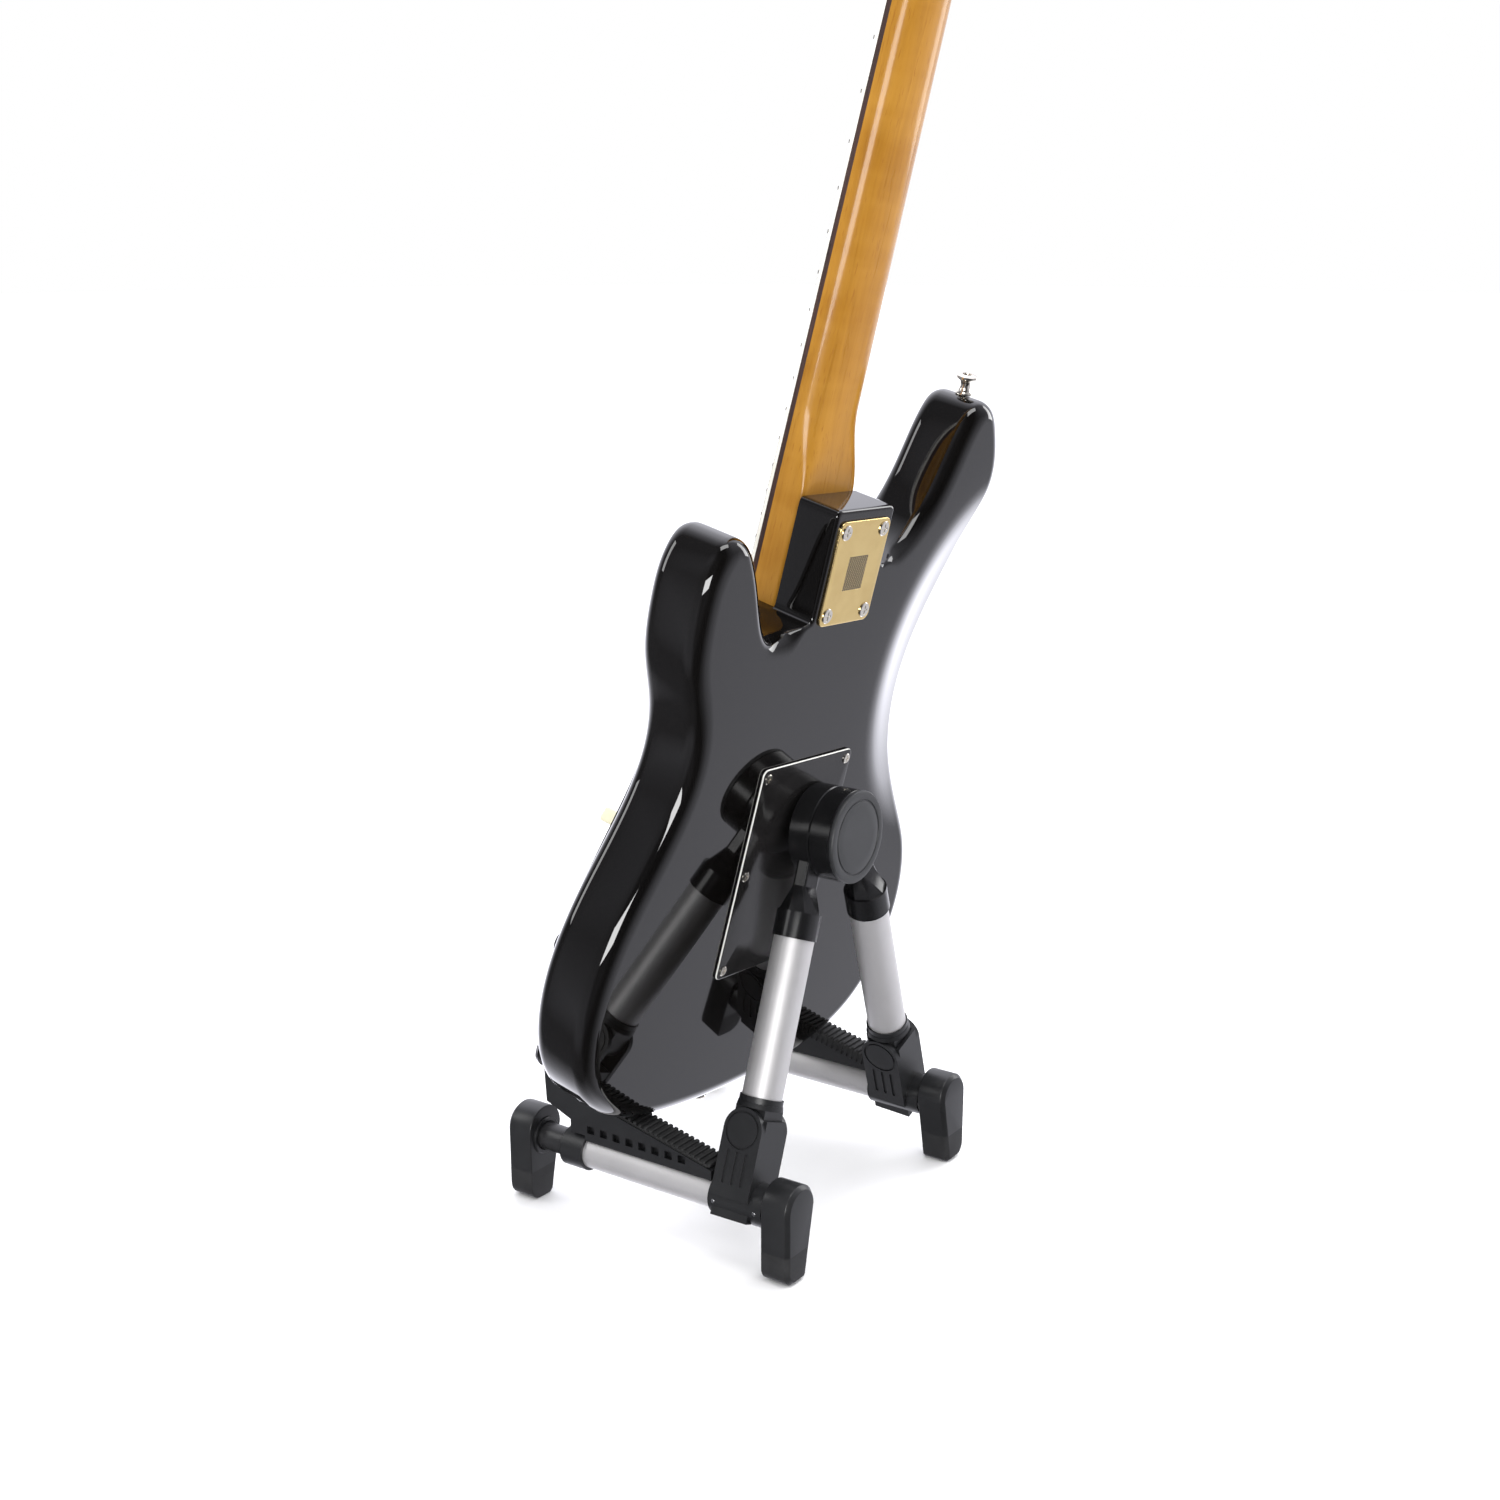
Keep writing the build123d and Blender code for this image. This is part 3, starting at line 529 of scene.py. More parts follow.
def band(s, source, low, high):
    """1 where the source lies between two values, else 0."""
    return s.math("MULTIPLY", s.math("GREATER_THAN", source, low), s.math("LESS_THAN", source, high))


def position(s):
    """The place along X, Y and Z in the piece's own axes, in metres, as three sockets."""
    split = s.node("ShaderNodeSeparateXYZ")
    s.link(s.coords, split.inputs[0])
    return split.outputs


def engraved_plate():
    """Gold-plated steel with a block of fine dark crosshatching in its middle."""
    s = Shader("gold_plate", (0.90, 0.68, 0.30), 0.2, Metallic=1.0)
    lines = s.noise(1500, 3, 0.6, s.stretched((0.05, 1.0, 1.0)))
    smudge = s.noise(40, 4, 0.6)
    gold = s.mix(s.ramp(smudge, (0.4, 0.0), (0.7, 0.5)), (0.90, 0.68, 0.30), (0.74, 0.52, 0.20))
    place = position(s)
    x, y = place["X"], place["Y"]
    half_w, low, high = 0.0095, 0.3425, 0.3635
    lines_per_metre, gap_share = 480.0, 0.52
    block = s.math("MULTIPLY", band(s, x, -half_w, half_w), band(s, y, low, high))
    rising = s.math("FRACT", s.math("MULTIPLY", s.math("ADD", x, y), lines_per_metre))
    falling = s.math("FRACT", s.math("MULTIPLY", s.math("SUBTRACT", x, y), lines_per_metre))
    crossed = s.math("GREATER_THAN", s.math("MAXIMUM", rising, falling), gap_share)
    mark = s.math("MULTIPLY", block, crossed)
    s.paint(s.mix(mark, gold, (0.030, 0.022, 0.012)))
    s.link(s.math("SUBTRACT", 1.0, mark), s.surface.inputs["Metallic"])
    s.polish(s.math("ADD", s.math("MULTIPLY", lines, 0.5), mark), 0.14, 0.42)
    s.bump(s.math("SUBTRACT", s.math("MULTIPLY", lines, 0.05), mark), 0.00006)
    return s.material


def layered_cover():
    """Glossy black plastic with the pale middle layer showing along its bevelled edge."""
    s = Shader("cover_plastic", (0.012, 0.0115, 0.0115), 0.10)
    smudge = s.noise(30, 4, 0.6)
    dark = s.mix(s.ramp(smudge, (0.4, 0.0), (0.7, 0.6)), (0.010, 0.0095, 0.0095), (0.018, 0.017, 0.017))
    pale_layer = band(s, position(s)["Z"], -0.00178, -0.0009)
    s.paint(s.mix(pale_layer, dark, (0.80, 0.79, 0.74)))
    s.polish(smudge, 0.06, 0.16)
    s.bump(s.noise(500, 2), 0.0000015)
    return s.material


# One material for each slot of the record, and a glossier plastic for the hub's drums.
materials = {
    "black_lacquer": lacquer(),
    "maple": maple(),
    "rosewood": rosewood(),
    "gold_plate": engraved_plate(),
    "screw_chrome": brushed("screw_chrome", (0.80, 0.76, 0.68), 0.12, 0.24),
    "fret_wire": brushed("fret_wire", (0.72, 0.70, 0.66), 0.16, 0.28),
    "bridge_chrome": brushed("bridge_chrome", (0.78, 0.78, 0.78), 0.08, 0.20),
    "spring_steel": brushed("spring_steel", (0.55, 0.55, 0.55), 0.25, 0.4),
    "string_steel": brushed("string_steel", (0.66, 0.65, 0.62), 0.2, 0.34),
    "steel_pin": brushed("steel_pin", (0.30, 0.30, 0.31), 0.28, 0.42),
    "anodised_tube": brushed("anodised_tube", (0.66, 0.65, 0.65), 0.47, 0.57, (1.0, 1.0, 0.03), metal=0.72),
    "black_tube": plastic("black_tube", (0.020, 0.020, 0.021), 0.34, 0.000003),
    "stand_plastic": plastic("stand_plastic", (0.0125, 0.013, 0.014), 0.36),
    "hub_gloss": plastic("hub_gloss", (0.0075, 0.0075, 0.008), 0.22, 0.000003),
    "hub_cap": plastic("hub_cap", (0.030, 0.031, 0.033), 0.45, 0.000006),
    "pad_rubber": rubber("pad_rubber", (0.0135, 0.0137, 0.014)),
    "sole_rubber": rubber("sole_rubber", (0.018, 0.018, 0.019)),
    "cover_plastic": layered_cover(),
    "guard_plastic": plastic("guard_plastic", slot_colour["guard_plastic"], 0.24, 0.000002),
    "pickup_plastic": plastic("pickup_plastic", slot_colour["pickup_plastic"], 0.3, 0.000003),
    "knob_plastic": plastic("knob_plastic", slot_colour["knob_plastic"], 0.3, 0.000003),
    "cream_tip": plastic("cream_tip", slot_colour["cream_tip"], 0.3, 0.000003),
    "bone": plastic("bone", slot_colour["bone"], 0.35, 0.000003),
}


def place_piece(made, body, slot, *nodes):
    """Lets a piece ride on a body in place of the CAD nodes named; the slot it is given is not used."""
    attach(made, body)
    if nodes:
        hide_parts(*nodes)
    return made


def on_guitar(skin, name, slot, *nodes, sharp=35):
    made = skin.object(name, materials[slot], guitar, sharp=sharp)
    return place_piece(made, "guitar", slot, *nodes)


# ---- guitar body -----------------------------------------------------------------------------
body_points = [
    (0, 338), (36, 322), (62, 317), (80, 340), (94, 366), (105, 378), (120, 380), (132, 366), (136, 338),
    (131, 303), (117, 270), (113, 244), (123, 205), (142, 165), (157, 120), (158, 80), (142, 40),
    (108, 14), (60, 3), (0, 0), (-60, 3.5), (-104, 12.5), (-138, 34), (-158, 70), (-163, 106),
    (-154, 148), (-134, 192), (-120, 228), (-117, 258), (-127, 298), (-141, 338), (-146, 376),
    (-142, 412), (-131, 435), (-120, 447.5), (-106, 449.5), (-95, 438), (-86, 416), (-74, 388), (-54, 366),
    (-28, 352),
]
block_half = heel_w / 2 + 1.5
heel_zone = (300, 360)                          # where along the body the outline meets the heel
heel_points = 90                                # of each outline around the heel
# Each contour is a sphere that cuts the flat face: radius, centre, height of the centre over the
# face, and how softly it fades in.
dish_shapes = {"belly": (300, (-205, 275), 268, 6.0), "forearm": (500, (-227, 95), 477, 1.6)}


def dish_depth(name, x, y):
    """Depth of a shallow contour below the flat face, faded in softly."""
    radius, centre, drop, soft = dish_shapes[name]
    square = radius**2 - (x - centre[0]) ** 2 - (y - centre[1]) ** 2
    depth = sqrt(square) - drop if square > 0 else -drop
    return (depth + sqrt(depth * depth + soft * soft)) / 2


def body_loops():
    """The body's back and front outlines, point for point alike except around the neck heel."""
    whole = spline_points(body_points)[::-1]
    x, y = whole[:, 0], whole[:, 1]
    near_heel = (np.abs(x) < block_half + 4) & (y > heel_zone[0]) & (y < heel_zone[1])
    start = np.argmax(near_heel & ~np.roll(near_heel, 1))
    whole = np.roll(whole, -start, 0)
    rest = whole[int(near_heel.sum()):]
    treble, bass = rest[-1], rest[0]
    block = rounded([
        (*treble, 0), (block_half, treble[1] + 1.5, 3.0), (block_half, pocket_mouth, 3.2),
        (-block_half, pocket_mouth, 3.2), (-block_half, bass[1] - 1.0, 3.0), (*bass, 0),
    ], closed=False)
    pocket = rounded([
        (*treble, 0), (heel_w / 2, treble[1] + 1, 0), (heel_w / 2, pocket_end, 0),
        (-heel_w / 2, pocket_end, 0), (-heel_w / 2, bass[1] - 2, 0), (*bass, 0),
    ], closed=False)
    back_path = even_steps(block, count=heel_points)[1:-1]
    front_path = even_steps(pocket, count=heel_points)[1:-1]
    return np.vstack([rest, back_path]), np.vstack([rest, front_path]), len(rest)


def eased(t):
    """From 0 to 1 with a soft start and end."""
    t = min(1.0, max(0.0, t))
    return t * t * (3 - 2 * t)


def edge_radii(loop, shared, tight, dish):
    """Edge radius along a loop: full on the body, tight by the heel, smaller under a deep dish."""
    fade, least_wall = 16.0, 2.0
    radii = []
    for i, (x, y) in enumerate(loop):
        away = min(i, shared - 1 - i) * outline_step if i < shared else 0.0
        full = min(edge_r, heel_top - least_wall - dish_depth(dish, x, y))
        radii.append(tight + (full - tight) * eased(away / fade))
    return np.array(radii)


def body_face(skin, loop, radii, dish, face_z, sense, holes):
    """Rounded edge and dished face with blind holes; returns the ring where it meets the wall.

    The sense is 1 for the back, whose depths go up in z, and -1 for the front.
    """
    steps, flat_rim, grid_pitch = 9, 1.2, 5.0

    def height(x, y):
        return face_z + sense * dish_depth(dish, x, y)

    out = outward(loop)
    inner = loop - out * (radii + flat_rim)[:, None]
    rings = [skin.ring([(x, y, height(x, y)) for x, y in inner])]
    for k in range(steps + 1):
        turn = k / steps * pi / 2
        ring = loop - out * (radii * (1 - sin(turn)))[:, None]
        rise = radii * (1 - cos(turn))
        rings.append(skin.ring([(x, y, height(x, y) + sense * r) for (x, y), r in zip(ring, rise)]))
    for a, b in zip(rings, rings[1:]):
        skin.bridge(a, b) if sense > 0 else skin.bridge(b, a)
    grid = inside_grid(inner, holes, grid_pitch)
    made_holes = []
    for path, depth in holes:
        path = counterclockwise(np.array(path))
        mouth = skin.ring([(x, y, height(x, y)) for x, y in path])
        bottom = skin.ring(at_height(path, face_z + sense * depth))
        skin.bridge(bottom, mouth) if sense > 0 else skin.bridge(mouth, bottom)
        skin.cap(bottom, flip=sense > 0)
        made_holes.append(mouth)
    skin.cap(rings[0], made_holes, grid, height, flip=sense > 0)
    return rings[-1]


def inside_grid(loop, holes, pitch):
    """Staggered grid points inside a loop, clear of its edge and of the holes."""
    low, high = loop.min(0), loop.max(0)
    margin, row_pitch = pitch * 0.55, pitch * 0.87
    points = []
    for row, y in enumerate(np.arange(low[1] + pitch, high[1], row_pitch), 1):
        for x in np.arange(low[0] + pitch * (1 + 0.5 * (row % 2)), high[0], pitch):
            points.append((x, y))
    points = np.array(points)
    keep = inside(points, loop) & (clearance(points, loop) > margin)
    for path, _ in holes:
        keep &= ~inside(points, path) & (clearance(points, path) > margin)
    return points[keep]


def inside(points, loop):
    """Which points lie inside a loop."""
    within = np.zeros(len(points), bool)
    for (x0, y0), (x1, y1) in zip(loop, np.roll(loop, -1, 0)):
        spans = (y0 > points[:, 1]) != (y1 > points[:, 1])
        slope = (x1 - x0) / (y1 - y0) if y1 != y0 else 0.0
        within ^= spans & (points[:, 0] < x0 + (points[:, 1] - y0) * slope)
    return within


def clearance(points, loop):
    """Distance from each point to the nearest point of a loop."""
    return np.array([np.sqrt(((loop - p) ** 2).sum(1).min()) for p in points])


def guitar_body():
    """The whole body: its back and front with their edges, and the step down into the neck pocket."""
    back_loop, front_loop, shared = body_loops()
    cavity = (box_outline(*cavity_size, 6, (0, cavity_y)), cavity_depth)
    jack_hole = (circle_outline(jack_r, jack_place), jack_depth)
    skin = Skin()
    back_radii = edge_radii(back_loop, shared, 2.6, "belly")
    front_radii = edge_radii(front_loop, shared, 0.5, "forearm")
    back_wall = body_face(skin, back_loop, back_radii, "belly", 0.0, 1, [cavity])
    front_wall = body_face(skin, front_loop, front_radii, "forearm", body_t, -1, [jack_hole])
    ledge_back = skin.ring(at_height(back_loop, heel_top))
    ledge_front = ledge_back[:shared] + skin.ring(at_height(front_loop[shared:], heel_top))
    skin.bridge(back_wall, ledge_back)
    for i in range(shared - 1, len(back_loop)):
        j = (i + 1) % len(back_loop)
        skin.quad(ledge_back[i], ledge_back[j], ledge_front[j], ledge_front[i])
    skin.bridge(ledge_front, front_wall)
    on_guitar(skin, "body_shell", "black_lacquer", "guitar_body", sharp=50)


# ---- neck ------------------------------------------------------------------------------------
def half_width(y):
    """Half the neck's width at a place along it."""
    return nut_w / 2 + (heel_w - nut_w) / 2 * (nut_y - y) / (nut_y - pocket_end)


def neck_ring(y, w, depth, power, top, count=41):
    """D-shaped section: flat on top, a rounded box or an oval below."""
    ring = []
    for k in range(count):
        turn = pi * k / (count - 1)
        x = w * np.sign(cos(turn)) * abs(cos(turn)) ** (2 / power)
        z = top - depth * abs(sin(turn)) ** (2 / power)
        ring.append((x, y, z))
    return ring


def neck_stations():
    """(place, depth, power) along the neck: boxy in the pocket, oval past the body."""
    heel_depth = board_top - board_t - heel_top
    boxy, oval = 14.0, 2.3
    leaves, rounded_by, ends = pocket_mouth - 2, pocket_mouth + 50, nut_y - 4
    stations = [(pocket_end + 0.3, heel_depth, boxy), (pocket_mouth - 6, heel_depth, boxy)]
    for t in np.linspace(0, 1, 15):
        ease = eased(t)
        depth = heel_depth + (shaft_depth - heel_depth) * ease
        power = 2 / (0.143 + 0.727 * ease)      # its inverse goes evenly from boxy to oval
        stations.append((leaves + (rounded_by - leaves) * t, depth, power))
    for t in np.linspace(0, 1, 24)[1:]:
        stations.append((rounded_by + (ends - rounded_by) * t, shaft_depth - shaft_taper * t, oval))
    return stations


def neck_shaft():
    """The neck from its heel to the nut."""
    top = board_top - board_t
    skin = Skin()
    rings = []
    for y, depth, power in neck_stations():
        w = min(half_width(y), heel_w / 2 - 0.15)
        rings.append(skin.ring(neck_ring(y, w, depth, power, top)))
    for a, b in zip(rings, rings[1:]):
        skin.bridge(b, a)
    skin.faces.append(rings[0][::-1])
    skin.faces.append(rings[-1])
    on_guitar(skin, "neck_shaft", "maple", "neck", sharp=40)


def headstock():
    """Plain rounded headstock with a hole for each of the six string posts."""
    head = spline_points([
        (nut_w / 2 - 0.5, nut_y - 8), (26, nut_y + 26), (37, nut_y + 62), (34, nut_y + 120),
        (20, nut_y + 176), (2, nut_y + head_len), (-17, nut_y + head_len - 10), (-27, nut_y + 154),
        (-33, nut_y + 94), (-38, nut_y + 42), (-33, nut_y + 16), (-nut_w / 2 + 0.5, nut_y - 8),
    ], closed=False, step=3)
    posts = [(-28 + 2.5 * i, nut_y + 34 + 24 * i) for i in range(6)]
    holes = [circle_outline(4.4, post, 16) for post in posts]
    skin = slab_skin(head, head_top - head_t, head_top, 2.2, 2.2, holes)
    on_guitar(skin, "headstock", "maple", sharp=45)


def fingerboard():
    low, high, corner = half_width(board_end), nut_w / 2, 1.2
    path = rounded([(low, board_end, corner), (high, nut_y, corner),
                    (-high, nut_y, corner), (-low, board_end, corner)])
    skin = slab_skin(path, board_top - board_t, board_top, 0.15, 0.8)
    on_guitar(skin, "fingerboard", "rosewood", "fretboard", sharp=40)


# ---- plates on the back ----------------------------------------------------------------------
def heel_plate():
    half_x, half_y = plate_screws[0] / 2, plate_screws[1] / 2
    screws = [(x, plate_y + y) for x in (-half_x, half_x) for y in (-half_y, half_y)]
    path = box_outline(*plate_size, 5, (0, plate_y), 8)
    holes = [circle_outline(2.4, at) for at in screws]
    skin = slab_skin(path, -plate_t, 0.0, 0.6, 0.05, holes)
    on_guitar(skin, "heel_plate", "gold_plate", "neck_plate", sharp=40)


def spring_cover():
    path = box_outline(*cover_size, 4, (0, cover_y), 8)
    slot = box_outline(*cover_slot, 5.95, (0, cover_slot_y), 8)
    skin = slab_skin(path, -cover_t, 0.0, 0.9, 0.05, [slot])
    on_guitar(skin, "spring_cover", "cover_plastic", "tremolo_cover", sharp=40)


# ---- small guitar parts ----------------------------------------------------------------------
def strap_buttons():
    """Two turned buttons: domed washer, waisted post and a rounded flange."""
    profile = [(0, 0), (5.2, 0), (5.4, 0.5), (5.0, 1.4), (4.1, 2.0), (3.5, 3.2), (3.2, 5.2), (3.5, 7.4),
               (4.6, 9.0), (6.2, 9.8), (6.8, 10.4), (6.9, 11.1), (6.4, 11.9), (5.0, 12.4), (2.8, 12.5),
               (2.6, 11.6), (0, 11.6)]
    turned = lathe_skin(profile, 40)
    skin = Skin()
    butt = shifted(0, -0.2, body_t / 2) @ turned_about("X", 90)
    horn = shifted(-112, 450.7, body_t / 2) @ turned_about("X", -90) @ turned_about("Y", 8)
    add_skin(skin, turned, butt)
    add_skin(skin, turned, horn)
    on_guitar(skin, "turned_strap_buttons", node_slot["strap_buttons"], "strap_buttons")


def pale_board_edges():
    """Pale line along both long edges of the fingerboard, and dots between the frets."""
    # Pale strips set along both long edges of the fingerboard, in the bone material.
    skin = Skin()
    for side in (-1, 1):
        low, high, start = half_width(board_end) * side, nut_w / 2 * side, board_end + 0.4
        wide = 1.1 * side
        strip = [(low, start), (high, nut_y), (high - wide, nut_y), (low - wide, start)]
        line = slab_skin(strip, board_top - 2.3, board_top + 0.06, 0.02, 0.3)
        add_skin(skin, line, Matrix.Identity(4))
    on_guitar(skin, "pale_board_edges", "bone")
    dot = lathe_skin([(0, 0), (3, 0), (3, 0.25), (2.8, 0.32), (0, 0.34)], 24)
    dots = Skin()
    for fret in (3, 5, 7, 9, 12, 15, 17, 19, 21):
        y = saddle_y + scale_len * (2 ** (-fret / 12) + 2 ** (-(fret - 1) / 12)) / 2
        for x in ((-10, 10) if fret == 12 else (0,)):
            add_skin(dots, dot, shifted(x, y, board_top - 0.2))
    on_guitar(dots, "board_dots", "bone")


def pole_pieces():
    """Six magnet tops on each pickup."""
    skin = Skin()
    pole = lathe_skin([(0, 0), (2.4, 0), (2.4, 1.0), (2.1, 1.35), (0, 1.4)], 20)
    for y, slant in pickups:
        middle = shifted(0, y, pickup_top) @ turned_about("Z", slant)
        for i in range(6):
            add_skin(skin, pole, middle @ shifted(string_gap * (i - 2.5), 0, 0))
    on_guitar(skin, "pole_pieces", "bridge_chrome")


def knobs():
    """Skirted knobs with a fluted grip: (radius, height, depth of the flutes) from the foot up."""
    profile = [(10.5, 0, 0), (10.5, 2.4, 0), (10.0, 3.0, 0), (9.6, 3.4, 0.45), (9.0, 12.6, 0.45),
               (8.6, 13.5, 0.3), (7.8, 14.0, 0), (6.4, 14.0, 0), (6.0, 13.6, 0)]
    flutes, count = 24, 144
    wave = 0.5 - 0.5 * np.cos(flutes * full_turn(count))
    for name, (x, y) in knob_places.items():
        skin = Skin()
        rings = []
        for r, z, flute in profile:
            path = circle_outline(r - flute * wave, (x, y), count)
            rings.append(skin.ring(at_height(path, guard_top + z)))
        for a, b in zip(rings, rings[1:]):
            skin.bridge(a, b)
        skin.fan(rings[0], (x, y, guard_top), flip=True)
        skin.fan(rings[-1], (x, y, guard_top + profile[-1][1]))
        made = skin.object(name.replace("knob", "dial"), materials[node_slot[name]], guitar, sharp=40)
        place_piece(made, name, node_slot[name], name)


# ---- stand -----------------------------------------------------------------------------------
stand = shifted(-12.5 * mm, 11.3 * mm, 0)       # the middle between the legs, in the frame
bar_x, bar_z = 95.0, 41.5                       # axis of the left foot bar, and its height
bar_shift = {1: 3.0, -1: -3.0}
side_name = {1: "left", -1: "right"}
lean = radians(12.8)                            # slope of the arms' tops
arm_y, arm_z = -53.0, 72.9                      # a point on that slope
boot_t, boot_top, boot_half_w = 19.5, 19.5, 15  # along the bar, over its axis and across
rear_boot_y, front_boot_y = 35.3, -141.0        # their inner faces
sole_top = 20.0                                 # above the floor
hub_cap_place = (0, 33.1, 246.5)
along_bar = Matrix(((1, 0, 0), (0, 0, 1), (0, -1, 0))).to_4x4()    # local z runs along +Y
chamfered = [(2.9, 0.0), (2.55, 0.06), (2.2, 0.35), (0.45, 2.1), (0.12, 2.5), (0.0, 2.9)]


def on_stand(skin, name, body, slot, *nodes):
    made = skin.object(name, materials[slot], stand, sharp=35)
    return place_piece(made, body, slot, *nodes)


def on_bar(side, y):
    """A place on the axis of a foot bar, looking along it to the rear."""
    return shifted(side * bar_x, y + bar_shift[side], bar_z) @ along_bar


def boot_outline(side):
    """Boot outline across and up from the bar's axis: round on top, its inner side slanted."""
    low, half = -bar_z, boot_half_w
    path = [(-5.5, low, 4), (-half, 4.5, 0.3), (-half, boot_top, 14.5), (half, boot_top, 14.5),
            (half - 0.5, low, 9)]
    return np.array(rounded([(side * x, y, r) for x, y, r in path], steps=9))


def parted(made, height, keep_top):
    """Cuts a piece flat at a height in its own axes and closes the cut."""
    cut = bmesh.new()
    cut.from_mesh(made.data)
    whole = cut.verts[:] + cut.edges[:] + cut.faces[:]
    done = bmesh.ops.bisect_plane(cut, geom=whole, plane_co=(0, 0, height * mm), plane_no=(0, 0, 1),
                                  clear_inner=keep_top, clear_outer=not keep_top)
    rim = [edge for edge in done["geom_cut"] if isinstance(edge, bmesh.types.BMEdge)]
    bmesh.ops.holes_fill(cut, edges=rim, sides=0)
    cut.to_mesh(made.data)
    cut.free()
    made.data.set_sharp_from_angle(angle=radians(35))


def boots(side):
    """Foot shells with a chamfer round the outer face, their rubber soles, and a hood in front."""
    name = side_name[side]
    flipped = boot_outline(side) * (1, -1)
    rear = ("rear", "bar", rear_boot_y, (0.0, boot_t), (0.8, chamfered))
    front = ("front", "front_end", front_boot_y, (-boot_t, 0.0), (chamfered, 0.8))
    for place, body, y, span, edges in (rear, front):
        shell = moved(slab_skin(flipped, *span, *edges), on_bar(side, y))
        for part in ("foot", "sole"):
            node = f"{name}_{place}_{part}"
            slot = node_slot[node]
            made = on_stand(shell, f"{node}_moulded", f"{name}_{body}", slot, node)
            parted(made, sole_top, part == "foot")
    profile = [(8.9, -1.0), (12.0, -1.0), (12.0, 0.9), (11.4, 1.5), (9.6, 1.5), (8.9, 0.8)]
    hood = moved(lathe_skin(profile, 48, closed=True), on_bar(side, front_boot_y))
    on_stand(hood, f"{name}_boot_hood", f"{name}_front_end", "stand_plastic")


def arm_top(y):
    """Height of the arm's sloping top at a place along it."""
    return arm_z - (y - arm_y) * tan(lean)


def pads(side):
    """Rubber pad on an arm: a thin base under cross ribs that turn down over the inner side."""
    name = side_name[side]
    rear, front, pitch = -4.9 + bar_shift[side], -110.0, 4
    up, back = Vector((0, sin(lean), cos(lean))), Vector((0, -cos(lean), sin(lean)))
    skin = Skin()

    def across(y, path, thick):
        origin = Vector((side * bar_x, y, arm_top(y)))
        place = axes_matrix(Vector((1, 0, 0)), up, back, origin)
        add_skin(skin, slab_skin(path, -thick / 2, thick / 2, 0.45, 0.45, steps=2), place)

    rib = [(7.9, -2.6, 0.3), (7.9, 0, 1.4), (-9.6, 0, 1.6), (-9.9, -8.6, 0.9), (-8.7, -8.6, 0.3),
           (-8.6, -2.6, 0)]
    rib = rounded([(side * x, y, r) for x, y, r in rib], steps=3)
    for step in range(int((rear - front) / pitch)):
        across(rear - pitch / 2 - pitch * step, rib, 2.1)
    base = [(7.9, -3.4), (7.9, -1.7), (-9.1, -1.7), (-9.1, -6.6), (-8.5, -6.6), (-8.5, -3.4)]
    base = rounded([(side * x, y, 0.4) for x, y in base], steps=2)
    middle, length = (rear + front) / 2 - 1, (rear - front - 3) / cos(lean)
    across(middle, base, length)
    on_stand(skin, f"{name}_ribbed_pad", f"{name}_bar", "pad_rubber", f"{name}_arm_pad")


def bar_details(side):
    """Toothed stop ring between barrel and boot, and two small pins in the barrel."""
    name = side_name[side]
    teeth, count = 12, 144
    path = circle_outline(11.9 + 0.7 * np.sign(np.sin(teeth * full_turn(count))), count=count)
    bore = circle_outline(11.05, count=48)
    ring = moved(slab_skin(path, 33.7, 35.4, 0.1, 0.1, [bore], steps=1), on_bar(side, 0))
    on_stand(ring, f"{name}_stop_ring", f"{name}_bar", "stand_plastic")
    pins = Skin()
    pin = lathe_skin([(0, -1), (1.3, -1), (1.3, 0.1), (1.0, 0.35), (0, 0.45)], 20)
    barrel_r = 12.9
    for y in (-0.5, 29.0):
        place = shifted(side * (bar_x + barrel_r), y + bar_shift[side], bar_z)
        add_skin(pins, pin, place @ turned_about("Y", 90 * side))
    on_stand(pins, f"{name}_barrel_pins", f"{name}_bar", "steel_pin")


def hub_cap():
    """Rear cap of the hub: soft rim, a ring groove and a faintly domed middle."""
    profile = [(0, -2.2), (28.4, -2.2), (28.6, -1.9), (28.6, 0.0), (28.2, 0.6), (27.4, 0.85),
               (23.9, 0.9), (23.6, 0.8), (23.4, 0.3), (22.3, 0.3), (22.1, 0.8), (21.8, 0.9),
               (16, 0.93), (8, 0.96), (0, 0.98)]
    skin = moved(lathe_skin(profile, 96), shifted(*hub_cap_place) @ along_bar)
    on_stand(skin, "moulded_hub_cap", "hub", "hub_cap", "hub_rear_cap")


for side in (1, -1):
    boots(side)
    pads(side)
    bar_details(side)
hub_cap()
guitar_body()
neck_shaft()
headstock()
fingerboard()
heel_plate()
spring_cover()
strap_buttons()
pale_board_edges()
pole_pieces()
knobs()


# ---- materials on the CAD nodes that stay ----------------------------------------------------
def dress_cad_nodes():
    """Gives every CAD node its slot's material, and the hub's drums a glossier one."""
    for name, made in frame["nodes"].items():
        made.data.materials.clear()
        finish = "hub_gloss" if name.endswith("hub_drum") else node_slot[name]
        made.data.materials.append(materials[finish])


dress_cad_nodes()


# ---- floor, light and camera -----------------------------------------------------------------
def floor():
    """Pale floor that catches contact shadows but isn't mirrored in the lacquer."""
    skin = Skin()
    skin.fan(skin.ring(at_height(circle_outline(9000, count=96), 0)), (0, 0, 0))
    s = Shader("studio_floor", (0.93, 0.93, 0.93), 0.9, Specular_IOR_Level=0.0)
    s.paint(s.ramp(s.noise(3, 3), (0.3, 0.925), (0.7, 0.935)))
    made = skin.object("studio_floor", s.material)
    made.visible_glossy = False


def light(kind, name, place, target, power):
    """A light at a place, pointed at a target, both in metres."""
    data = bpy.data.lights.new(name, kind)
    data.energy = power
    made = bpy.data.objects.new(name, data)
    bpy.context.scene.collection.objects.link(made)
    made.location = place
    made.rotation_euler = (Vector(target) - Vector(place)).to_track_quat("-Z", "Y").to_euler()
    return made


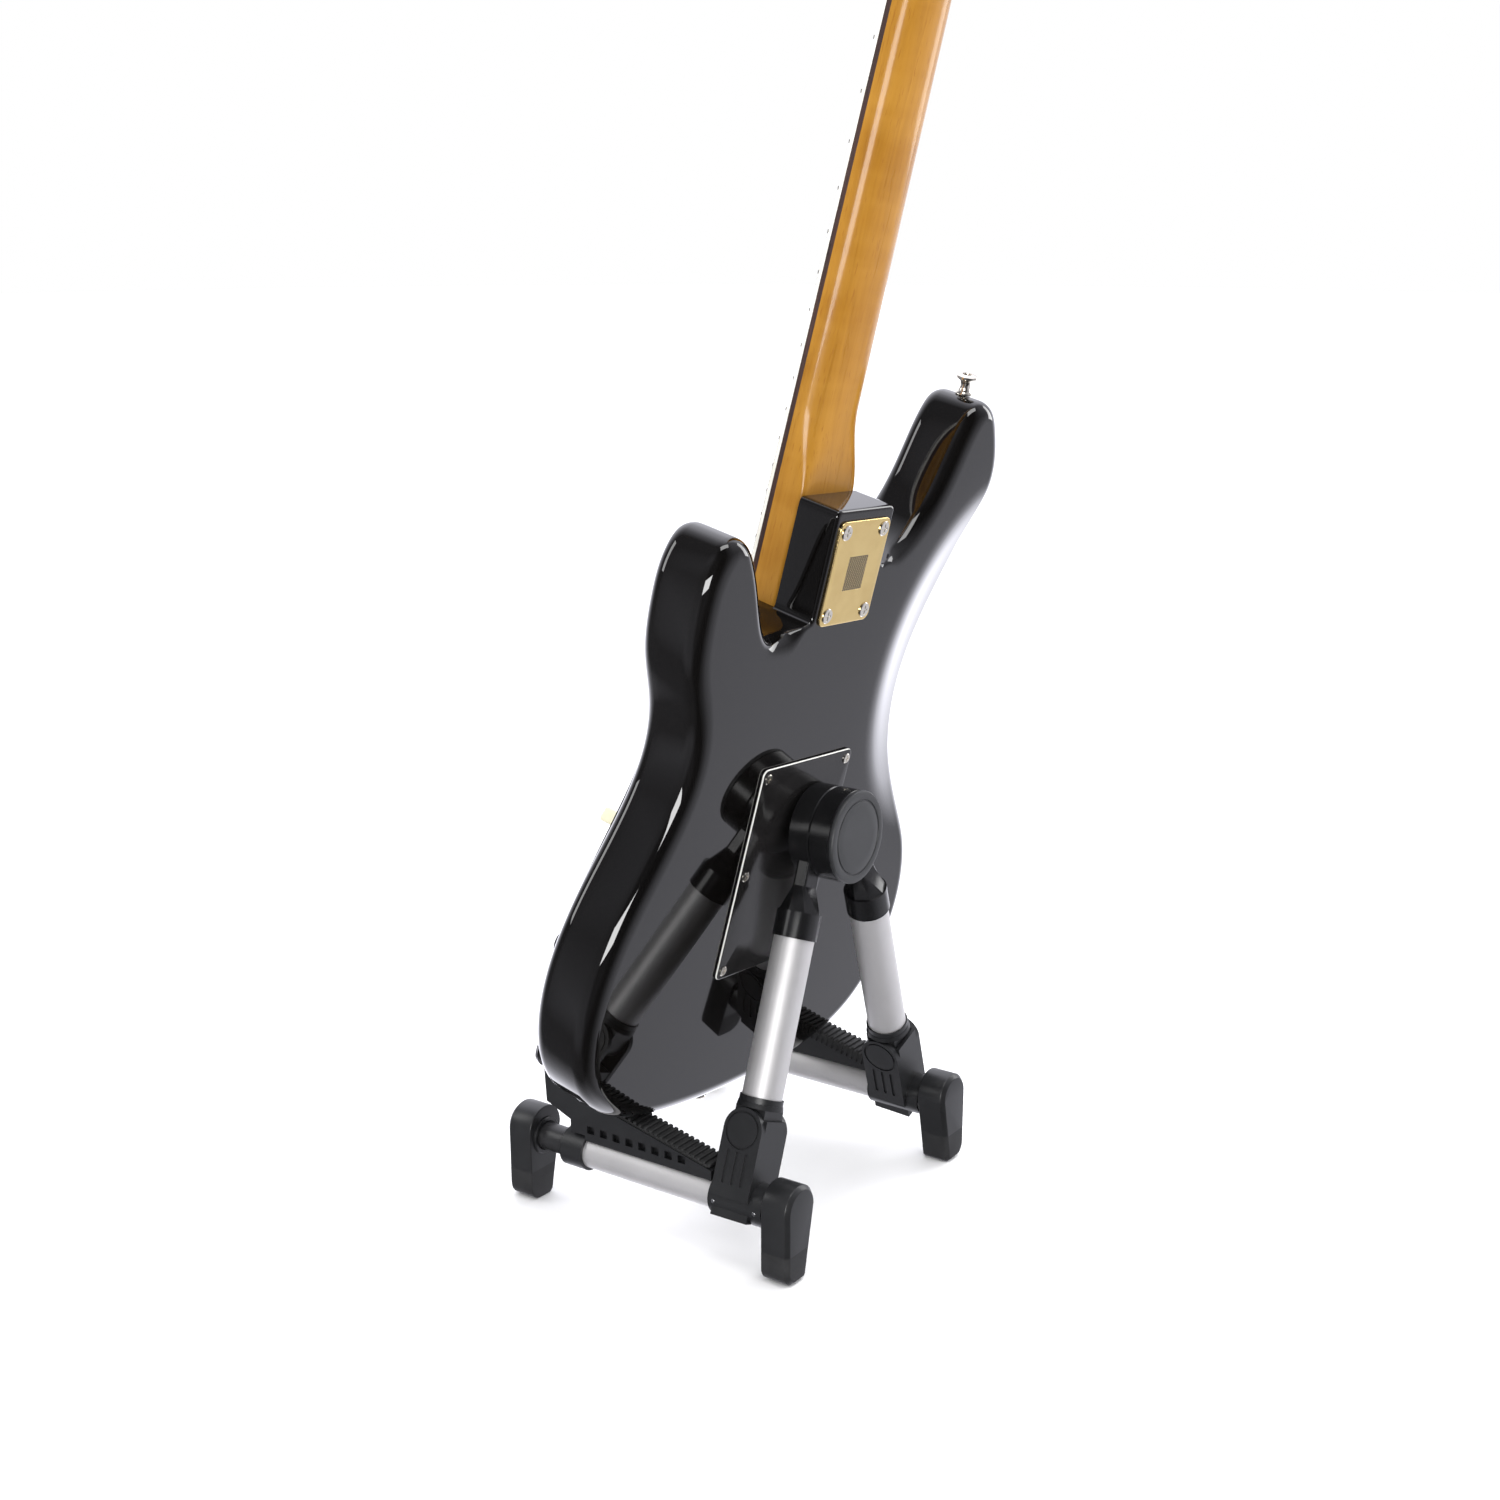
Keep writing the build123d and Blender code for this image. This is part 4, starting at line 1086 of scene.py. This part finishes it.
def soft_light(name, place, target, size, power):
    made = light("AREA", name, place, target, power)
    made.data.shape = "RECTANGLE"
    made.data.size, made.data.size_y = size
    return made


def world_ramp(tree, source, stops):
    """Brightness of the surroundings along one direction, from -1 to 1."""
    rise = tree.nodes.new("ShaderNodeMapRange")
    rise.inputs["From Min"].default_value = -1.0
    tree.links.new(source, rise.inputs["Value"])
    ramp = tree.nodes.new("ShaderNodeValToRGB")
    while len(ramp.color_ramp.elements) < len(stops):
        ramp.color_ramp.elements.new(0.5)
    for element, (at, shade) in zip(ramp.color_ramp.elements, stops):
        element.position = (at + 1) / 2
        element.color = (shade, shade, shade * 1.03, 1)
    tree.links.new(rise.outputs["Result"], ramp.inputs["Fac"])
    return ramp.outputs["Color"]


def studio():
    """Plain white for the camera; for light and gloss, surroundings that darken to one side."""
    world = bpy.data.worlds.new("studio")
    bpy.context.scene.world = world
    world.use_nodes = True
    tree = world.node_tree
    nodes, links = tree.nodes, tree.links
    shown = nodes["Background"]
    shown.inputs["Color"].default_value = (1, 1, 1, 1)
    shown.inputs["Strength"].default_value = 1.0
    around = nodes.new("ShaderNodeBackground")
    split = nodes.new("ShaderNodeSeparateXYZ")
    links.new(nodes.new("ShaderNodeTexCoord").outputs["Generated"], split.inputs[0])
    heights = world_ramp(tree, split.outputs["Z"], (
        (-1.0, 0.55), (-0.3, 0.80), (0.0, 0.60), (0.25, 0.42), (1.0, 0.9)))
    sides = world_ramp(tree, split.outputs["X"], (
        (-1.0, 0.62), (-0.86, 0.72), (-0.75, 0.95), (-0.3, 0.85), (0.05, 0.35), (0.3, 0.07),
        (0.6, 0.08), (0.78, 0.19), (1.0, 0.15)))
    depths = world_ramp(tree, split.outputs["Y"], ((-1.0, 1.0), (0.06, 1.0), (0.32, 0.34), (1.0, 0.34)))
    shade = heights
    for factor in (sides, depths):
        product = nodes.new("ShaderNodeVectorMath")
        product.operation = "MULTIPLY"
        links.new(shade, product.inputs[0])
        links.new(factor, product.inputs[1])
        shade = product.outputs[0]
    links.new(shade, around.inputs["Color"])
    around.inputs["Strength"].default_value = 3.1
    choose = nodes.new("ShaderNodeMixShader")
    path = nodes.new("ShaderNodeLightPath")
    links.new(path.outputs["Is Camera Ray"], choose.inputs["Fac"])
    links.new(around.outputs[0], choose.inputs[1])
    links.new(shown.outputs[0], choose.inputs[2])
    links.new(choose.outputs[0], nodes["World Output"].inputs["Surface"])
    sky = light("SUN", "sky", (0, 0, 3), (0, 0, 0), 3.1)
    sky.data.angle = pi
    sky.visible_glossy = False
    soft_light("overhead", (0.35, 0.6, 1.9), (0, 0, 0.3), (0.9, 0.5), 9)
    streak = soft_light("beside_camera", (1.95, 0.85, 0.46), (0, 0, 0.25), (0.95, 0.55), 24)
    streak.visible_diffuse = False
    soft_light("bass_side", (-1.7, 0.7, 0.9), (0, 0, 0.35), (0.5, 1.4), 10)
    soft_light("front", (1.2, -1.6, 1.3), (0, 0, 0.4), (0.5, 1.2), 9)
    bpy.context.scene.view_settings.view_transform = "Standard"


def camera():
    """The camera at the photo's viewing angle, fitted to it through the plate and the cover."""
    data = bpy.data.cameras.new("camera")
    data.lens = 52.73
    data.sensor_width = 36
    data.clip_start = 0.01
    made = bpy.data.objects.new("camera", data)
    bpy.context.scene.collection.objects.link(made)
    azimuth, pitch = radians(124.89), radians(15.57)
    made.location = (1.0593, 0.71305, 0.65265)
    look = Vector((-sin(azimuth) * cos(pitch), cos(azimuth) * cos(pitch), -sin(pitch)))
    made.rotation_euler = look.to_track_quat("-Z", "Y").to_euler()
    bpy.context.scene.camera = made


floor()
studio()
camera()
